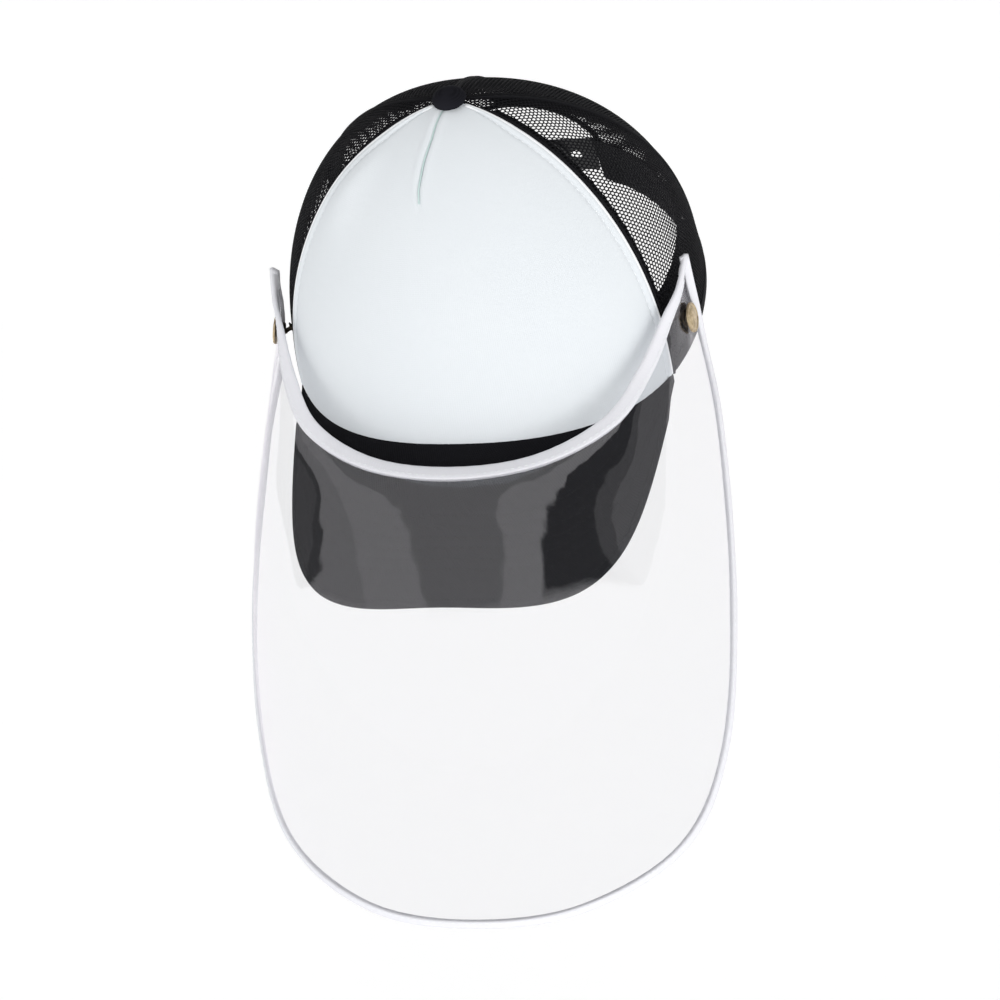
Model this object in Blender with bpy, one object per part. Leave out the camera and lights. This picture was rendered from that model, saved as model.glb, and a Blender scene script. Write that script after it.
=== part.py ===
"""Foam-front mesh cap with a clear face shield that snaps on at both temples.

Metres, +Z up as worn, the visor towards -Y, and +X on the wearer's left. The origin is the
centre of the head opening, in the plane of the rim.
"""

import math

import bmesh
import bpy
import numpy as np
from mathutils import Matrix, Vector

# Crown: the outer surface, from the rim to the button.
CROWN_HALF_WIDTH = 0.0868
CROWN_FRONT = 0.094
CROWN_BACK = 0.099
CROWN_HEIGHT = 0.115
CROWN_PLAN_POWER = 2.1      # 2 is an ellipse, more is squarer
CROWN_TAPER_POWER = 1.145   # how fast the crown narrows towards the top
CROWN_RISE_POWER = 0.862
CROWN_TOP_SHIFT = -0.003
CROWN_HOLLOW = 0.0157       # how far front and back draw in at half height
CROWN_TOP_T = 0.955         # the panels end here, under the button

# Panels: angles from straight ahead to the seams.
FRONT_SEAM = math.radians(65.0)
REAR_SEAM = math.radians(117.0)
SEAM_GAP = 0.0003
FACE_THICKNESS = 0.0008
FOAM_THICKNESS = 0.0025
MESH_THICKNESS = 0.0010
TAPE_WIDTH = 0.0090
TAPE_THICKNESS = 0.0006
GAP = 0.0003

# Sweatband
BAND_INSET = 0.0050
BAND_THICKNESS = 0.0014
BAND_HEIGHT = 0.032
BAND_END = math.radians(157.0)

# Visor
VISOR_LENGTH = 0.0710
VISOR_PITCH = math.radians(14.0)
VISOR_ARCH = 3.9            # drop in metres for each square metre of x squared
VISOR_PLAN_POWER = 2.96
VISOR_BULGE = -0.045
VISOR_CLOTH = 0.0006
VISOR_BOARD = 0.0020
PIPING_WIDTH = 0.0014

# Rear opening and the two snap straps
ARCH_HALF_WIDTH = 0.0315
ARCH_SIDE_HEIGHT = 0.016
ARCH_HEIGHT = 0.046
ARCH_BINDING = 0.0030
STRAP_BOTTOM = 0.0030
STRAP_TOP = 0.0195
STRAP_THICKNESS = 0.0012
STRAP_INNER_Y = 0.0884
STRAP_HINGE_X = 0.0305
STRAP_FREE_END_X = 0.0178
STRAP_TAB_END_X = 0.0420
PEG_PITCH = 0.0070
PEG_COUNT = 6
PEG_RADIUS = 0.0021
PEG_HEIGHT = 0.0026
HOLE_RADIUS = 0.0026

# Snap fasteners
SNAP_Y = -0.0300
SNAP_Z = 0.0200
SNAP_CAP_RADIUS = 0.00625
SNAP_SEAT = 0.0018          # from the film's middle to the centre of the stud's ball

# Shield: points on its two edges, from the middle to the ear behind the snap, as (x, y, z).
FILM_THICKNESS = 0.0006
SHIELD_TOP_EDGE = (
    (0.0, -0.1095, 0.0135),
    (0.034, -0.1040, 0.0145),
    (0.060, -0.0870, 0.0184),
    (0.0725, -0.0650, 0.0252),
    (0.0802, -0.0440, 0.0330),
    (0.0848, -0.031, 0.0370),
    (0.0872, -0.0180, 0.0435),
)
SHIELD_OUTER_EDGE = (
    (0.0, -0.2245, -0.1302),
    (0.044, -0.2150, -0.1318),
    (0.082, -0.1850, -0.1285),
    (0.0982, -0.150, -0.109),
    (0.1022, -0.106, -0.069),
    (0.0972, -0.053, -0.024),
    (0.0900, -0.0245, 0.005),
    (0.0872, -0.0180, 0.0435),
)
EAR_PINCH = 0.0050          # how far the snap draws the ear in towards the head
SHIELD_COLUMNS = 36
SHIELD_ROWS = 12
TOP_BINDING_WIDTH = 0.0056
EDGE_BINDING_WIDTH = 0.0027
BINDING_WALL = 0.00045
BINDING_SLOT = 0.00085      # half the slot that the film sits in
BINDING_LIP = 0.0011


# ---------------------------------------------------------------- scene and materials

def clear_scene():
    for obj in list(bpy.data.objects):
        bpy.data.objects.remove(obj, do_unlink=True)


def make_material(name, colour, roughness, metallic=0.0, alpha=1.0):
    material = bpy.data.materials.new(name)
    material.use_nodes = True
    shader = material.node_tree.nodes["Principled BSDF"]
    shader.inputs["Base Color"].default_value = (*colour, 1.0)
    shader.inputs["Roughness"].default_value = roughness
    shader.inputs["Metallic"].default_value = metallic
    shader.inputs["Alpha"].default_value = alpha
    material.diffuse_color = (*colour, alpha)
    return material


def make_materials():
    return {
        "face_cloth": make_material("face_cloth", (0.80, 0.85, 0.88), 0.85),
        "foam": make_material("foam", (0.78, 0.79, 0.80), 0.95),
        "mesh": make_material("mesh", (0.012, 0.012, 0.014), 0.55),
        "black_cloth": make_material("black_cloth", (0.014, 0.014, 0.017), 0.80),
        "board": make_material("board", (0.10, 0.10, 0.11), 0.60),
        "strap_plastic": make_material("strap_plastic", (0.015, 0.015, 0.017), 0.40),
        "brass": make_material("brass", (0.42, 0.31, 0.16), 0.35, metallic=1.0),
        "film": make_material("film", (0.93, 0.94, 0.97), 0.08, alpha=0.15),
        "binding": make_material("binding", (0.88, 0.88, 0.90), 0.70),
    }


# ---------------------------------------------------------------- mesh helpers

def new_object(name, mesh, material, origin=(0.0, 0.0, 0.0)):
    """Adds an object whose mesh is in world coordinates, with its origin moved to a point."""
    mesh.transform(Matrix.Translation(-Vector(origin)))
    obj = bpy.data.objects.new(name, mesh)
    obj.location = origin
    mesh.materials.append(material)
    bpy.context.scene.collection.objects.link(obj)
    return obj


def mesh_from(name, vertices, faces):
    """A closed mesh with doubled points joined and its faces pointing out."""
    mesh = bpy.data.meshes.new(name)
    mesh.from_pydata([tuple(v) for v in vertices], [], faces)
    shape = bmesh.new()
    shape.from_mesh(mesh)
    bmesh.ops.remove_doubles(shape, verts=shape.verts, dist=1e-6)
    bmesh.ops.recalc_face_normals(shape, faces=shape.faces)
    shape.to_mesh(mesh)
    shape.free()
    mesh.shade_smooth()
    mesh.set_sharp_from_angle(angle=math.radians(40.0))
    return mesh


def slab(name, outer, inner, material, origin=(0.0, 0.0, 0.0)):
    """A closed solid between two grids of points of the same rows and columns."""
    rows, columns = outer.shape[:2]
    size = rows * columns
    vertices = np.concatenate([outer.reshape(-1, 3), inner.reshape(-1, 3)])
    faces = []
    for r in range(rows - 1):
        for c in range(columns - 1):
            corner = r * columns + c
            quad = (corner, corner + 1, corner + columns + 1, corner + columns)
            faces.append(quad)
            faces.append(tuple(size + v for v in reversed(quad)))
    loop = [c for c in range(columns)]
    loop += [r * columns + columns - 1 for r in range(1, rows)]
    loop += [(rows - 1) * columns + c for c in range(columns - 2, -1, -1)]
    loop += [r * columns for r in range(rows - 2, 0, -1)]
    for here, there in zip(loop, loop[1:] + loop[:1]):
        faces.append((here, size + here, size + there, there))
    return new_object(name, mesh_from(name, vertices, faces), material, origin)


def swept_bar(name, sections, material):
    """A closed solid through a list of cross-sections with the same number of points."""
    sections = np.asarray(sections)
    count, sides = sections.shape[:2]
    faces = []
    for i in range(count - 1):
        for j in range(sides):
            k = (j + 1) % sides
            here, there = i * sides, (i + 1) * sides
            faces.append((here + j, here + k, there + k, there + j))
    faces.append(tuple(range(sides)))
    faces.append(tuple(range((count - 1) * sides, count * sides)))
    return new_object(name, mesh_from(name, sections.reshape(-1, 3), faces), material)


def turned(name, profile, centre, axis, material, segments=18):
    """A solid turned about an axis. The profile is (radius, height) pairs from axis to axis."""
    turn = Vector((0.0, 0.0, 1.0)).rotation_difference(Vector(axis)).to_matrix()
    vertices, faces, rings = [], [], []
    for radius, height in profile:
        if radius < 1e-9:
            rings.append([len(vertices)] * segments)
            vertices.append(turn @ Vector((0.0, 0.0, height)) + Vector(centre))
            continue
        ring = []
        for k in range(segments):
            angle = 2.0 * math.pi * k / segments
            point = Vector((radius * math.cos(angle), radius * math.sin(angle), height))
            ring.append(len(vertices))
            vertices.append(turn @ point + Vector(centre))
        rings.append(ring)
    for low, high in zip(rings, rings[1:]):
        for k in range(segments):
            n = (k + 1) % segments
            corners = dict.fromkeys((low[k], low[n], high[n], high[k]))
            if len(corners) > 2:
                faces.append(tuple(corners))
    return new_object(name, mesh_from(name, vertices, faces), material, centre)


def cutter(name, mesh):
    obj = bpy.data.objects.new(name, mesh)
    obj.hide_render = True
    obj.display_type = "WIRE"
    bpy.context.scene.collection.objects.link(obj)
    return obj


def cylinder_mesh(name, radius, start, end, segments=18):
    """A cylinder between two points."""
    start, end = Vector(start), Vector(end)
    shape = bmesh.new()
    bmesh.ops.create_cone(shape, cap_ends=True, segments=segments, radius1=radius,
                          radius2=radius, depth=(end - start).length)
    turn = Vector((0.0, 0.0, 1.0)).rotation_difference(end - start).to_matrix().to_4x4()
    shape.transform(Matrix.Translation((start + end) / 2.0) @ turn)
    mesh = bpy.data.meshes.new(name)
    shape.to_mesh(mesh)
    shape.free()
    return mesh


def boolean(obj, other, operation="DIFFERENCE"):
    modifier = obj.modifiers.new(other.name, "BOOLEAN")
    modifier.operation = operation
    modifier.solver = "EXACT"
    modifier.object = other


def normals_of(grid):
    """Unit normals of a grid of points, from the differences between its neighbours."""
    across = np.gradient(grid, axis=1)
    down = np.gradient(grid, axis=0)
    normal = np.cross(across, down)
    return normal / np.maximum(np.linalg.norm(normal, axis=2, keepdims=True), 1e-15)


def unit(vector):
    return vector / np.linalg.norm(vector)


# ---------------------------------------------------------------- crown surface

def signed_power(value, power):
    return math.copysign(abs(value) ** power, value)


def plan(angle):
    """The crown's plan shape as fractions of its half sizes: across, and ahead."""
    power = 2.0 / CROWN_PLAN_POWER
    return signed_power(math.sin(angle), power), signed_power(math.cos(angle), power)


def visor_height(x, y):
    """The height of the visor's cloth, an arched sheet that slopes down ahead."""
    across, ahead = plan(FRONT_SEAM)
    corner_x, corner_y = CROWN_HALF_WIDTH * across, -CROWN_FRONT * ahead
    slope = math.tan(VISOR_PITCH)
    return slope * (y - corner_y) - VISOR_ARCH * (x * x - corner_x * corner_x)


def crown_level(t):
    """Width, rise and hollow of the crown at t, from 0 at the rim to 1 at the top."""
    turn = t * math.pi / 2.0
    width = math.cos(turn) ** CROWN_TAPER_POWER
    rise = math.sin(turn) ** CROWN_RISE_POWER
    return width, rise, CROWN_HOLLOW * math.sin(math.pi * t)


def crown_outer(angle, t):
    across, ahead = plan(angle)
    width, rise, hollow = crown_level(t)
    depth = CROWN_FRONT if ahead > 0.0 else CROWN_BACK
    x = CROWN_HALF_WIDTH * across * width
    y = -(depth * width - hollow) * ahead + CROWN_TOP_SHIFT * (1.0 - width)
    rim = 0.0
    if abs(angle) < FRONT_SEAM:
        rim = visor_height(CROWN_HALF_WIDTH * across, -depth * ahead)
    return np.array((x, y, rim * (1.0 - rise) + CROWN_HEIGHT * rise))


def crown_angle_for(length, angle, t):
    """The change of angle that covers a length along the crown at one level."""
    step = 1e-3
    span = crown_outer(angle + step, t) - crown_outer(angle - step, t)
    return length * 2.0 * step / np.linalg.norm(span)


def crown_point(angle, t, inset):
    """A point that lies inset metres inside the crown's outer surface."""
    step = 1e-3
    low, high = max(t - step, 1e-4), t + step
    along = crown_outer(angle + step, t) - crown_outer(angle - step, t)
    up = crown_outer(angle, high) - crown_outer(angle, low)
    normal = unit(np.cross(along, up))
    return crown_outer(angle, t) - inset * normal


def crown_t_at(height):
    """t at a height, where the rim is at zero."""
    rise = max(height, 0.0) / CROWN_HEIGHT
    return 2.0 / math.pi * math.asin(rise ** (1.0 / CROWN_RISE_POWER))


def crown_side_x(y, z):
    """The outer surface's x beside the wearer's temple, ahead of the middle."""
    width, _, hollow = crown_level(crown_t_at(z))
    ahead = (CROWN_TOP_SHIFT * (1.0 - width) - y) / (CROWN_FRONT * width - hollow)
    across = (1.0 - ahead ** CROWN_PLAN_POWER) ** (1.0 / CROWN_PLAN_POWER)
    return CROWN_HALF_WIDTH * width * across


def crown_side_under(point):
    """The nearest point of the crown's side to a point outside it, and the normal there."""
    sign = math.copysign(1.0, point[0])
    step = 1e-4
    foot = point
    for _ in range(6):
        y, z = foot[1], foot[2]
        slope_y = (crown_side_x(y + step, z) - crown_side_x(y - step, z)) / (2.0 * step)
        slope_z = (crown_side_x(y, z + step) - crown_side_x(y, z - step)) / (2.0 * step)
        normal = unit(np.array((sign, -slope_y, -slope_z)))
        skin = np.array((sign * crown_side_x(y, z), y, z))
        foot = point - normal * np.dot(point - skin, normal)
    return foot, normal


def crown_back_y(x, z):
    """The outer surface's y at the back of the head."""
    width, _, hollow = crown_level(crown_t_at(z))
    across = abs(x) / (CROWN_HALF_WIDTH * width)
    behind = (1.0 - across ** CROWN_PLAN_POWER) ** (1.0 / CROWN_PLAN_POWER)
    return (CROWN_BACK * width - hollow) * behind + CROWN_TOP_SHIFT * (1.0 - width)


def crown_back_inside(x, z, inset):
    """The point inset metres inside the back of the crown, behind x and z."""
    step = 1e-4
    slope_x = (crown_back_y(x + step, z) - crown_back_y(x - step, z)) / (2.0 * step)
    slope_z = (crown_back_y(x, z + step) - crown_back_y(x, z - step)) / (2.0 * step)
    normal = unit(np.array((-slope_x, 1.0, -slope_z)))
    return np.array((x, crown_back_y(x, z), z)) - inset * normal


def crown_patch(start, end, columns, rows, inset, top=CROWN_TOP_T):
    """A grid on the crown between two angles, from the rim up, drawn in by half a seam gap."""
    grid = np.empty((rows + 1, columns + 1, 3))
    for r in range(rows + 1):
        t = top * r / rows
        first = start + crown_angle_for(0.5 * SEAM_GAP, start, t)
        last = end - crown_angle_for(0.5 * SEAM_GAP, end, t)
        for c in range(columns + 1):
            grid[r, c] = crown_point(first + (last - first) * c / columns, t, inset)
    return grid


# ---------------------------------------------------------------- crown pieces

def crown_panel(name, start, end, columns, rows, inset, thickness, material):
    outer = crown_patch(start, end, columns, rows, inset)
    inner = crown_patch(start, end, columns, rows, inset + thickness)
    return slab(name, outer, inner, material)


def build_front(materials):
    crown_panel("front_panel", -FRONT_SEAM, FRONT_SEAM, 16, 9, 0.0, FACE_THICKNESS,
                materials["face_cloth"])
    margin = 0.5 * TAPE_WIDTH + 0.0012
    columns, rows, top = 16, 8, 0.84
    layers = []
    outside = FACE_THICKNESS + 2.0 * GAP
    for inset in (outside, outside + FOAM_THICKNESS):
        grid = np.empty((rows + 1, columns + 1, 3))
        for r in range(rows + 1):
            t = 0.01 + (top - 0.01) * r / rows
            reach = FRONT_SEAM - crown_angle_for(margin, FRONT_SEAM, t)
            for c in range(columns + 1):
                angle = reach * (2.0 * c / columns - 1.0)
                grid[r, c] = crown_point(angle, t, inset)
        layers.append(grid)
    slab("front_foam_lining", layers[0], layers[1], materials["foam"])


def arch_outline(half_width, side_height, height, steps):
    """The rear opening's outline in x and z, from one foot over the top to the other."""
    points = [(half_width, 0.0), (half_width, 0.5 * side_height)]
    for k in range(steps + 1):
        angle = math.pi * k / steps
        points.append((half_width * math.cos(angle),
                       side_height + (height - side_height) * math.sin(angle)))
    points += [(-half_width, 0.5 * side_height), (-half_width, 0.0)]
    return points


def build_mesh_panels(places, materials):
    grow = ARCH_BINDING + GAP
    outline = arch_outline(ARCH_HALF_WIDTH + grow, ARCH_SIDE_HEIGHT, ARCH_HEIGHT + grow, 16)
    outline = outline[1:-1]
    outline = [(outline[0][0], -0.01)] + outline + [(outline[-1][0], -0.01)]
    count = len(outline)
    vertices = [(x, y, z) for y in (0.05, 0.13) for x, z in outline]
    faces = [tuple(range(count)), tuple(range(2 * count - 1, count - 1, -1))]
    faces += [(k, k + count, (k + 1) % count + count, (k + 1) % count) for k in range(count)]
    arch = cutter("arch_cutter", mesh_from("arch_cutter", vertices, faces))
    for side, sign in (("left", 1.0), ("right", -1.0)):
        start, end = sorted((sign * FRONT_SEAM, sign * REAR_SEAM))
        panel = crown_panel(f"side_mesh_{side}", start, end, 7, 9, 0.0, MESH_THICKNESS,
                            materials["mesh"])
        foot, normal = crown_side_under(places[side][0])
        hole = cylinder_mesh(f"post_hole_{side}", 0.0018, foot - 0.006 * normal,
                             foot + 0.004 * normal, 12)
        boolean(panel, cutter(f"post_hole_{side}", hole))
        start, end = sorted((sign * REAR_SEAM, sign * math.pi))
        rear = crown_panel(f"rear_mesh_{side}", start, end, 8, 10, 0.0, MESH_THICKNESS,
                           materials["mesh"])
        boolean(rear, arch)


def tape(name, angle, low, high, inset, material, rows=9):
    """A strip over a seam inside the crown."""
    layers = []
    for depth in (inset, inset + TAPE_THICKNESS):
        grid = np.empty((rows + 1, 2, 3))
        for r in range(rows + 1):
            t = low + (high - low) * r / rows
            half = crown_angle_for(0.5 * TAPE_WIDTH, angle, t)
            for c, turn in enumerate((-half, half)):
                point = crown_point(angle, t, depth)
                beside = crown_point(angle + turn, t, depth)
                flat = unit(beside - point) * 0.5 * TAPE_WIDTH
                grid[r, c] = point + flat
        layers.append(grid)
    return slab(name, layers[0], layers[1], material)


def build_tapes(materials):
    cloth = materials["black_cloth"]
    for side, sign in (("left", 1.0), ("right", -1.0)):
        tape(f"seam_tape_front_{side}", sign * FRONT_SEAM, 0.012, 0.84, 0.0016, cloth)
        tape(f"seam_tape_rear_{side}", sign * REAR_SEAM, 0.012, 0.84, 0.0016, cloth)
    over_arch = crown_t_at(ARCH_HEIGHT + ARCH_BINDING + 0.002)
    tape("seam_tape_back", math.pi, over_arch, 0.84, 0.0016, cloth, rows=6)


def build_button(materials):
    top = CROWN_HEIGHT
    shift = CROWN_TOP_SHIFT
    dome = [(0.0, -0.0042), (0.0018, -0.0042), (0.0018, 0.0006), (0.0064, 0.0003),
            (0.0070, 0.0012), (0.0066, 0.0026), (0.0050, 0.0040), (0.0026, 0.0048), (0.0, 0.0050)]
    turned("top_button", dome, (0.0, shift, top), (0, 0, 1), materials["black_cloth"], 20)
    washer = [(0.0022, -0.0040), (0.0060, -0.0040), (0.0064, -0.0034), (0.0060, -0.0028),
              (0.0022, -0.0028), (0.0022, -0.0040)]
    turned("button_washer", washer, (0.0, shift, top), (0, 0, 1), materials["black_cloth"], 20)


def build_sweatband(materials):
    columns = 44
    layers = []
    for inset in (BAND_INSET, BAND_INSET + BAND_THICKNESS):
        grid = np.empty((4, columns + 1, 3))
        for c in range(columns + 1):
            angle = BAND_END * (2.0 * c / columns - 1.0)
            rim = crown_outer(angle, 0.0)[2]
            for r, rise in enumerate((0.0008, 0.34 * BAND_HEIGHT, 0.67 * BAND_HEIGHT,
                                      BAND_HEIGHT)):
                share = rise / (CROWN_HEIGHT - rim)
                t = 2.0 / math.pi * math.asin(share ** (1.0 / CROWN_RISE_POWER))
                grid[r, c] = crown_point(angle, t, inset)
        layers.append(grid)
    slab("sweatband", layers[0], layers[1], materials["black_cloth"])


# ---------------------------------------------------------------- visor

def visor_edge(u):
    """The visor's outline in plan, for u from -1 at one corner to 1 at the other."""
    across, ahead = plan(FRONT_SEAM)
    corner_x, corner_y = CROWN_HALF_WIDTH * across, -CROWN_FRONT * ahead
    angle = u * math.pi / 2.0
    power = 2.0 / VISOR_PLAN_POWER
    forward = max(math.cos(angle), 0.0) ** power
    front_y = -CROWN_FRONT - VISOR_LENGTH * math.cos(VISOR_PITCH)
    x = corner_x * signed_power(math.sin(angle), power)
    x *= 1.0 + VISOR_BULGE * math.sin(math.pi * forward)
    return np.array((x, corner_y + (front_y - corner_y) * forward))


def visor_root(u):
    point = crown_point(u * FRONT_SEAM, 0.0005, -(GAP + 0.0001))
    return point[:2]


def visor_sheet(name, top, bottom, material, reach=1.0, start=0.0, spread=1.0, columns=20):
    rows = 5
    layers = []
    for offset in (top, bottom):
        grid = np.empty((rows + 1, columns + 1, 3))
        for c in range(columns + 1):
            u = spread * math.sin(0.5 * math.pi * (2.0 * c / columns - 1.0))
            root, edge = visor_root(u), visor_edge(u)
            for r in range(rows + 1):
                share = start + (reach - start) * r / rows
                x, y = root + (edge - root) * share
                grid[r, c] = (x, y, visor_height(x, y) + offset)
        layers.append(grid)
    return slab(name, layers[0], layers[1], material)


def build_visor(materials):
    under = -(GAP + VISOR_BOARD + GAP)
    cloth = materials["black_cloth"]
    visor_sheet("visor_top_cloth", VISOR_CLOTH, 0.0, cloth, spread=0.985)
    visor_sheet("visor_board", -GAP, -GAP - VISOR_BOARD, materials["board"], reach=0.975,
                start=0.02, spread=0.93)
    visor_sheet("visor_under_cloth", under, under - VISOR_CLOTH, cloth, spread=0.985)
    sections = []
    count = 36
    for k in range(count + 1):
        u = 0.985 * math.sin(0.5 * math.pi * (2.0 * k / count - 1.0))
        here = visor_edge(u)
        along = unit(visor_edge(min(u + 0.01, 1.0)) - visor_edge(max(u - 0.01, -1.0)))
        outward = np.array((along[1], -along[0]))
        ring = []
        for away, height in ((GAP, VISOR_CLOTH), (GAP + PIPING_WIDTH, VISOR_CLOTH - 0.0008),
                             (GAP + PIPING_WIDTH, under - VISOR_CLOTH + 0.0008),
                             (GAP, under - VISOR_CLOTH)):
            x, y = here + outward * away
            ring.append((x, y, visor_height(here[0], here[1]) + height))
        sections.append(ring)
    swept_bar("visor_edge_piping", sections, cloth)


# ---------------------------------------------------------------- rear opening and straps

def build_arch_binding(materials):
    inner = arch_outline(ARCH_HALF_WIDTH, ARCH_SIDE_HEIGHT, ARCH_HEIGHT, 18)
    outer = arch_outline(ARCH_HALF_WIDTH + ARCH_BINDING, ARCH_SIDE_HEIGHT,
                         ARCH_HEIGHT + ARCH_BINDING, 18)
    sections = []
    for (x_in, z_in), (x_out, z_out) in zip(inner, outer):
        y_in, y_out = crown_back_y(x_in, z_in), crown_back_y(x_out, z_out)
        sections.append([(x_in, y_in + 0.0006, z_in), (x_out, y_out + 0.0006, z_out),
                         (x_out, y_out - 0.0012, z_out), (x_in, y_in - 0.0012, z_in)])
    swept_bar("arch_binding", sections, materials["black_cloth"])


def strap_body(name, sign, low_y, origin, material):
    """A flat strap with one round end, from the bend at its root to its free end."""
    middle = 0.5 * (STRAP_TOP + STRAP_BOTTOM)
    half = 0.5 * (STRAP_TOP - STRAP_BOTTOM)
    root = sign * (STRAP_HINGE_X - GAP)
    centre = -sign * (STRAP_FREE_END_X - half)
    outline = [(root, middle - half)]
    for k in range(11):
        angle = math.pi * k / 10 - math.pi / 2.0
        outline.append((centre - sign * half * math.cos(angle), middle + half * math.sin(angle)))
    outline.append((root, middle + half))
    count = len(outline)
    vertices = [(x, y, z) for y in (low_y, low_y + STRAP_THICKNESS) for x, z in outline]
    faces = [tuple(range(count)), tuple(range(2 * count - 1, count - 1, -1))]
    faces += [(k, k + count, (k + 1) % count + count, (k + 1) % count) for k in range(count)]
    return new_object(name, mesh_from(name, vertices, faces), material, origin)


def strap_tab(name, sign, depth, material):
    """The strap's root, sewn flat inside the rear panel."""
    columns, rows = 3, 2
    layers = []
    for inset in (depth, depth + STRAP_THICKNESS):
        grid = np.empty((rows + 1, columns + 1, 3))
        for c in range(columns + 1):
            start = STRAP_HINGE_X + GAP + 0.45 * inset
            x = start + (STRAP_TAB_END_X - start) * c / columns
            for r in range(rows + 1):
                z = STRAP_BOTTOM + (STRAP_TOP - STRAP_BOTTOM) * r / rows
                point = crown_back_inside(x, z, inset)
                grid[r, c] = (sign * point[0], point[1], point[2])
        layers.append(grid)
    return slab(name, layers[0], layers[1], material)


def build_straps(materials):
    plastic = materials["strap_plastic"]
    middle = 0.5 * (STRAP_TOP + STRAP_BOTTOM)
    outer_y = STRAP_INNER_Y + STRAP_THICKNESS + GAP
    hinge = (STRAP_HINGE_X, outer_y + STRAP_THICKNESS, middle)
    hole_strap = strap_body("hole_strap", 1.0, outer_y, hinge, plastic)
    peg_strap = strap_body("peg_strap", -1.0, STRAP_INNER_Y,
                           (-STRAP_HINGE_X, STRAP_INNER_Y, middle), plastic)
    for k in range(PEG_COUNT):
        x = (k - 2) * PEG_PITCH
        hole = cylinder_mesh(f"strap_hole_{k}", HOLE_RADIUS, (x, outer_y - 0.002, middle),
                             (x, outer_y + 0.004, middle), 14)
        boolean(hole_strap, cutter(f"strap_hole_{k}", hole))
    for k in range(PEG_COUNT):
        x = (k - 3) * PEG_PITCH
        profile = [(0.0, -0.0004), (PEG_RADIUS, -0.0004), (PEG_RADIUS, 0.45 * PEG_HEIGHT),
                   (0.85 * PEG_RADIUS, 0.80 * PEG_HEIGHT), (0.45 * PEG_RADIUS, PEG_HEIGHT),
                   (0.0, PEG_HEIGHT)]
        peg = turned(f"strap_peg_{k}", profile, (x, STRAP_INNER_Y + STRAP_THICKNESS, middle),
                     (0, 1, 0), plastic, 12)
        peg.hide_render = True
        peg.display_type = "WIRE"
        boolean(peg_strap, peg, "UNION")
    depth = MESH_THICKNESS + 3.5 * GAP
    strap_tab("hole_strap_root", 1.0, depth, plastic)
    strap_tab("peg_strap_root", -1.0, depth, plastic)


# ---------------------------------------------------------------- shield

def even_curve(points, count):
    """Evenly spaced points on a smooth curve through the points and their mirror images."""
    half = np.array(points)
    mirror = half[:0:-1] * (-1.0, 1.0, 1.0)
    knots = np.concatenate([mirror, half])
    ends = (2.0 * knots[0] - knots[1], 2.0 * knots[-1] - knots[-2])
    knots = np.concatenate([[ends[0]], knots, [ends[1]]])
    fine = []
    for a, b, c, d in zip(knots, knots[1:], knots[2:], knots[3:]):
        for s in np.linspace(0.0, 1.0, 24, endpoint=False):
            fine.append(0.5 * (2.0 * b + (c - a) * s + (2.0 * a - 5.0 * b + 4.0 * c - d) * s * s
                               + (3.0 * b - a - 3.0 * c + d) * s ** 3))
    fine.append(knots[-2])
    fine = np.array(fine)
    run = np.concatenate([[0.0], np.cumsum(np.linalg.norm(np.diff(fine, axis=0), axis=1))])
    stops = np.linspace(0.0, run[-1], count)
    return np.stack([np.interp(stops, run, fine[:, k]) for k in range(3)], axis=1)


def shield_grid(columns, rows):
    """The film's middle surface: rows from the top edge to the outer edge."""
    top = even_curve(SHIELD_TOP_EDGE, columns + 1)
    low = even_curve(SHIELD_OUTER_EDGE, columns + 1)
    grid = np.empty((rows + 1, columns + 1, 3))
    for c in range(columns + 1):
        side = abs(2.0 * c / columns - 1.0)
        ease = side * side * (3.0 - 2.0 * side)
        reach = 0.76 - 0.26 * ease
        drop = -0.065 + 0.565 * side ** 2.2
        bend = top[c] + (low[c] - top[c]) * (reach, reach, drop)
        bend[0] -= math.copysign(EAR_PINCH * side ** 6, top[c][0])
        for r in range(rows + 1):
            s = r / rows
            grid[r, c] = (1 - s) ** 2 * top[c] + 2 * s * (1 - s) * bend + s * s * low[c]
    return grid


def shield_normals(grid):
    """Normals that point away from the head, with the ears' last columns taken from inside."""
    normal = normals_of(grid)
    normal[:, 0], normal[:, -1] = normal[:, 1], normal[:, -2]
    middle = grid.shape[1] // 2
    if normal[0, middle, 2] < 0.0:
        normal = -normal
    return normal


def build_film(grid, normal, places, materials):
    half = 0.5 * FILM_THICKNESS
    sheet = grid.copy()
    for end, beside in ((0, 1), (-1, -2)):
        sheet[:, end] = 0.1 * grid[:, end] + 0.9 * grid[:, beside]
    film = slab("shield_film", sheet + half * normal, sheet - half * normal, materials["film"],
                (0.0, SNAP_Y, SNAP_Z))
    for side, (ball, axis) in places.items():
        hole = cylinder_mesh(f"film_hole_{side}", 0.0020, ball - 0.003 * axis,
                             ball + 0.006 * axis, 12)
        boolean(film, cutter(f"film_hole_{side}", hole))


def point_along(line, distance):
    """The point at a distance along a line of points, or straight on from its first step."""
    run = np.concatenate([[0.0], np.cumsum(np.linalg.norm(np.diff(line, axis=0), axis=1))])
    if run[-1] < 3.0 * distance:
        return line[0] + distance * unit(line[1] - line[0])
    return np.array([np.interp(distance, run, line[:, k]) for k in range(3)])


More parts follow.
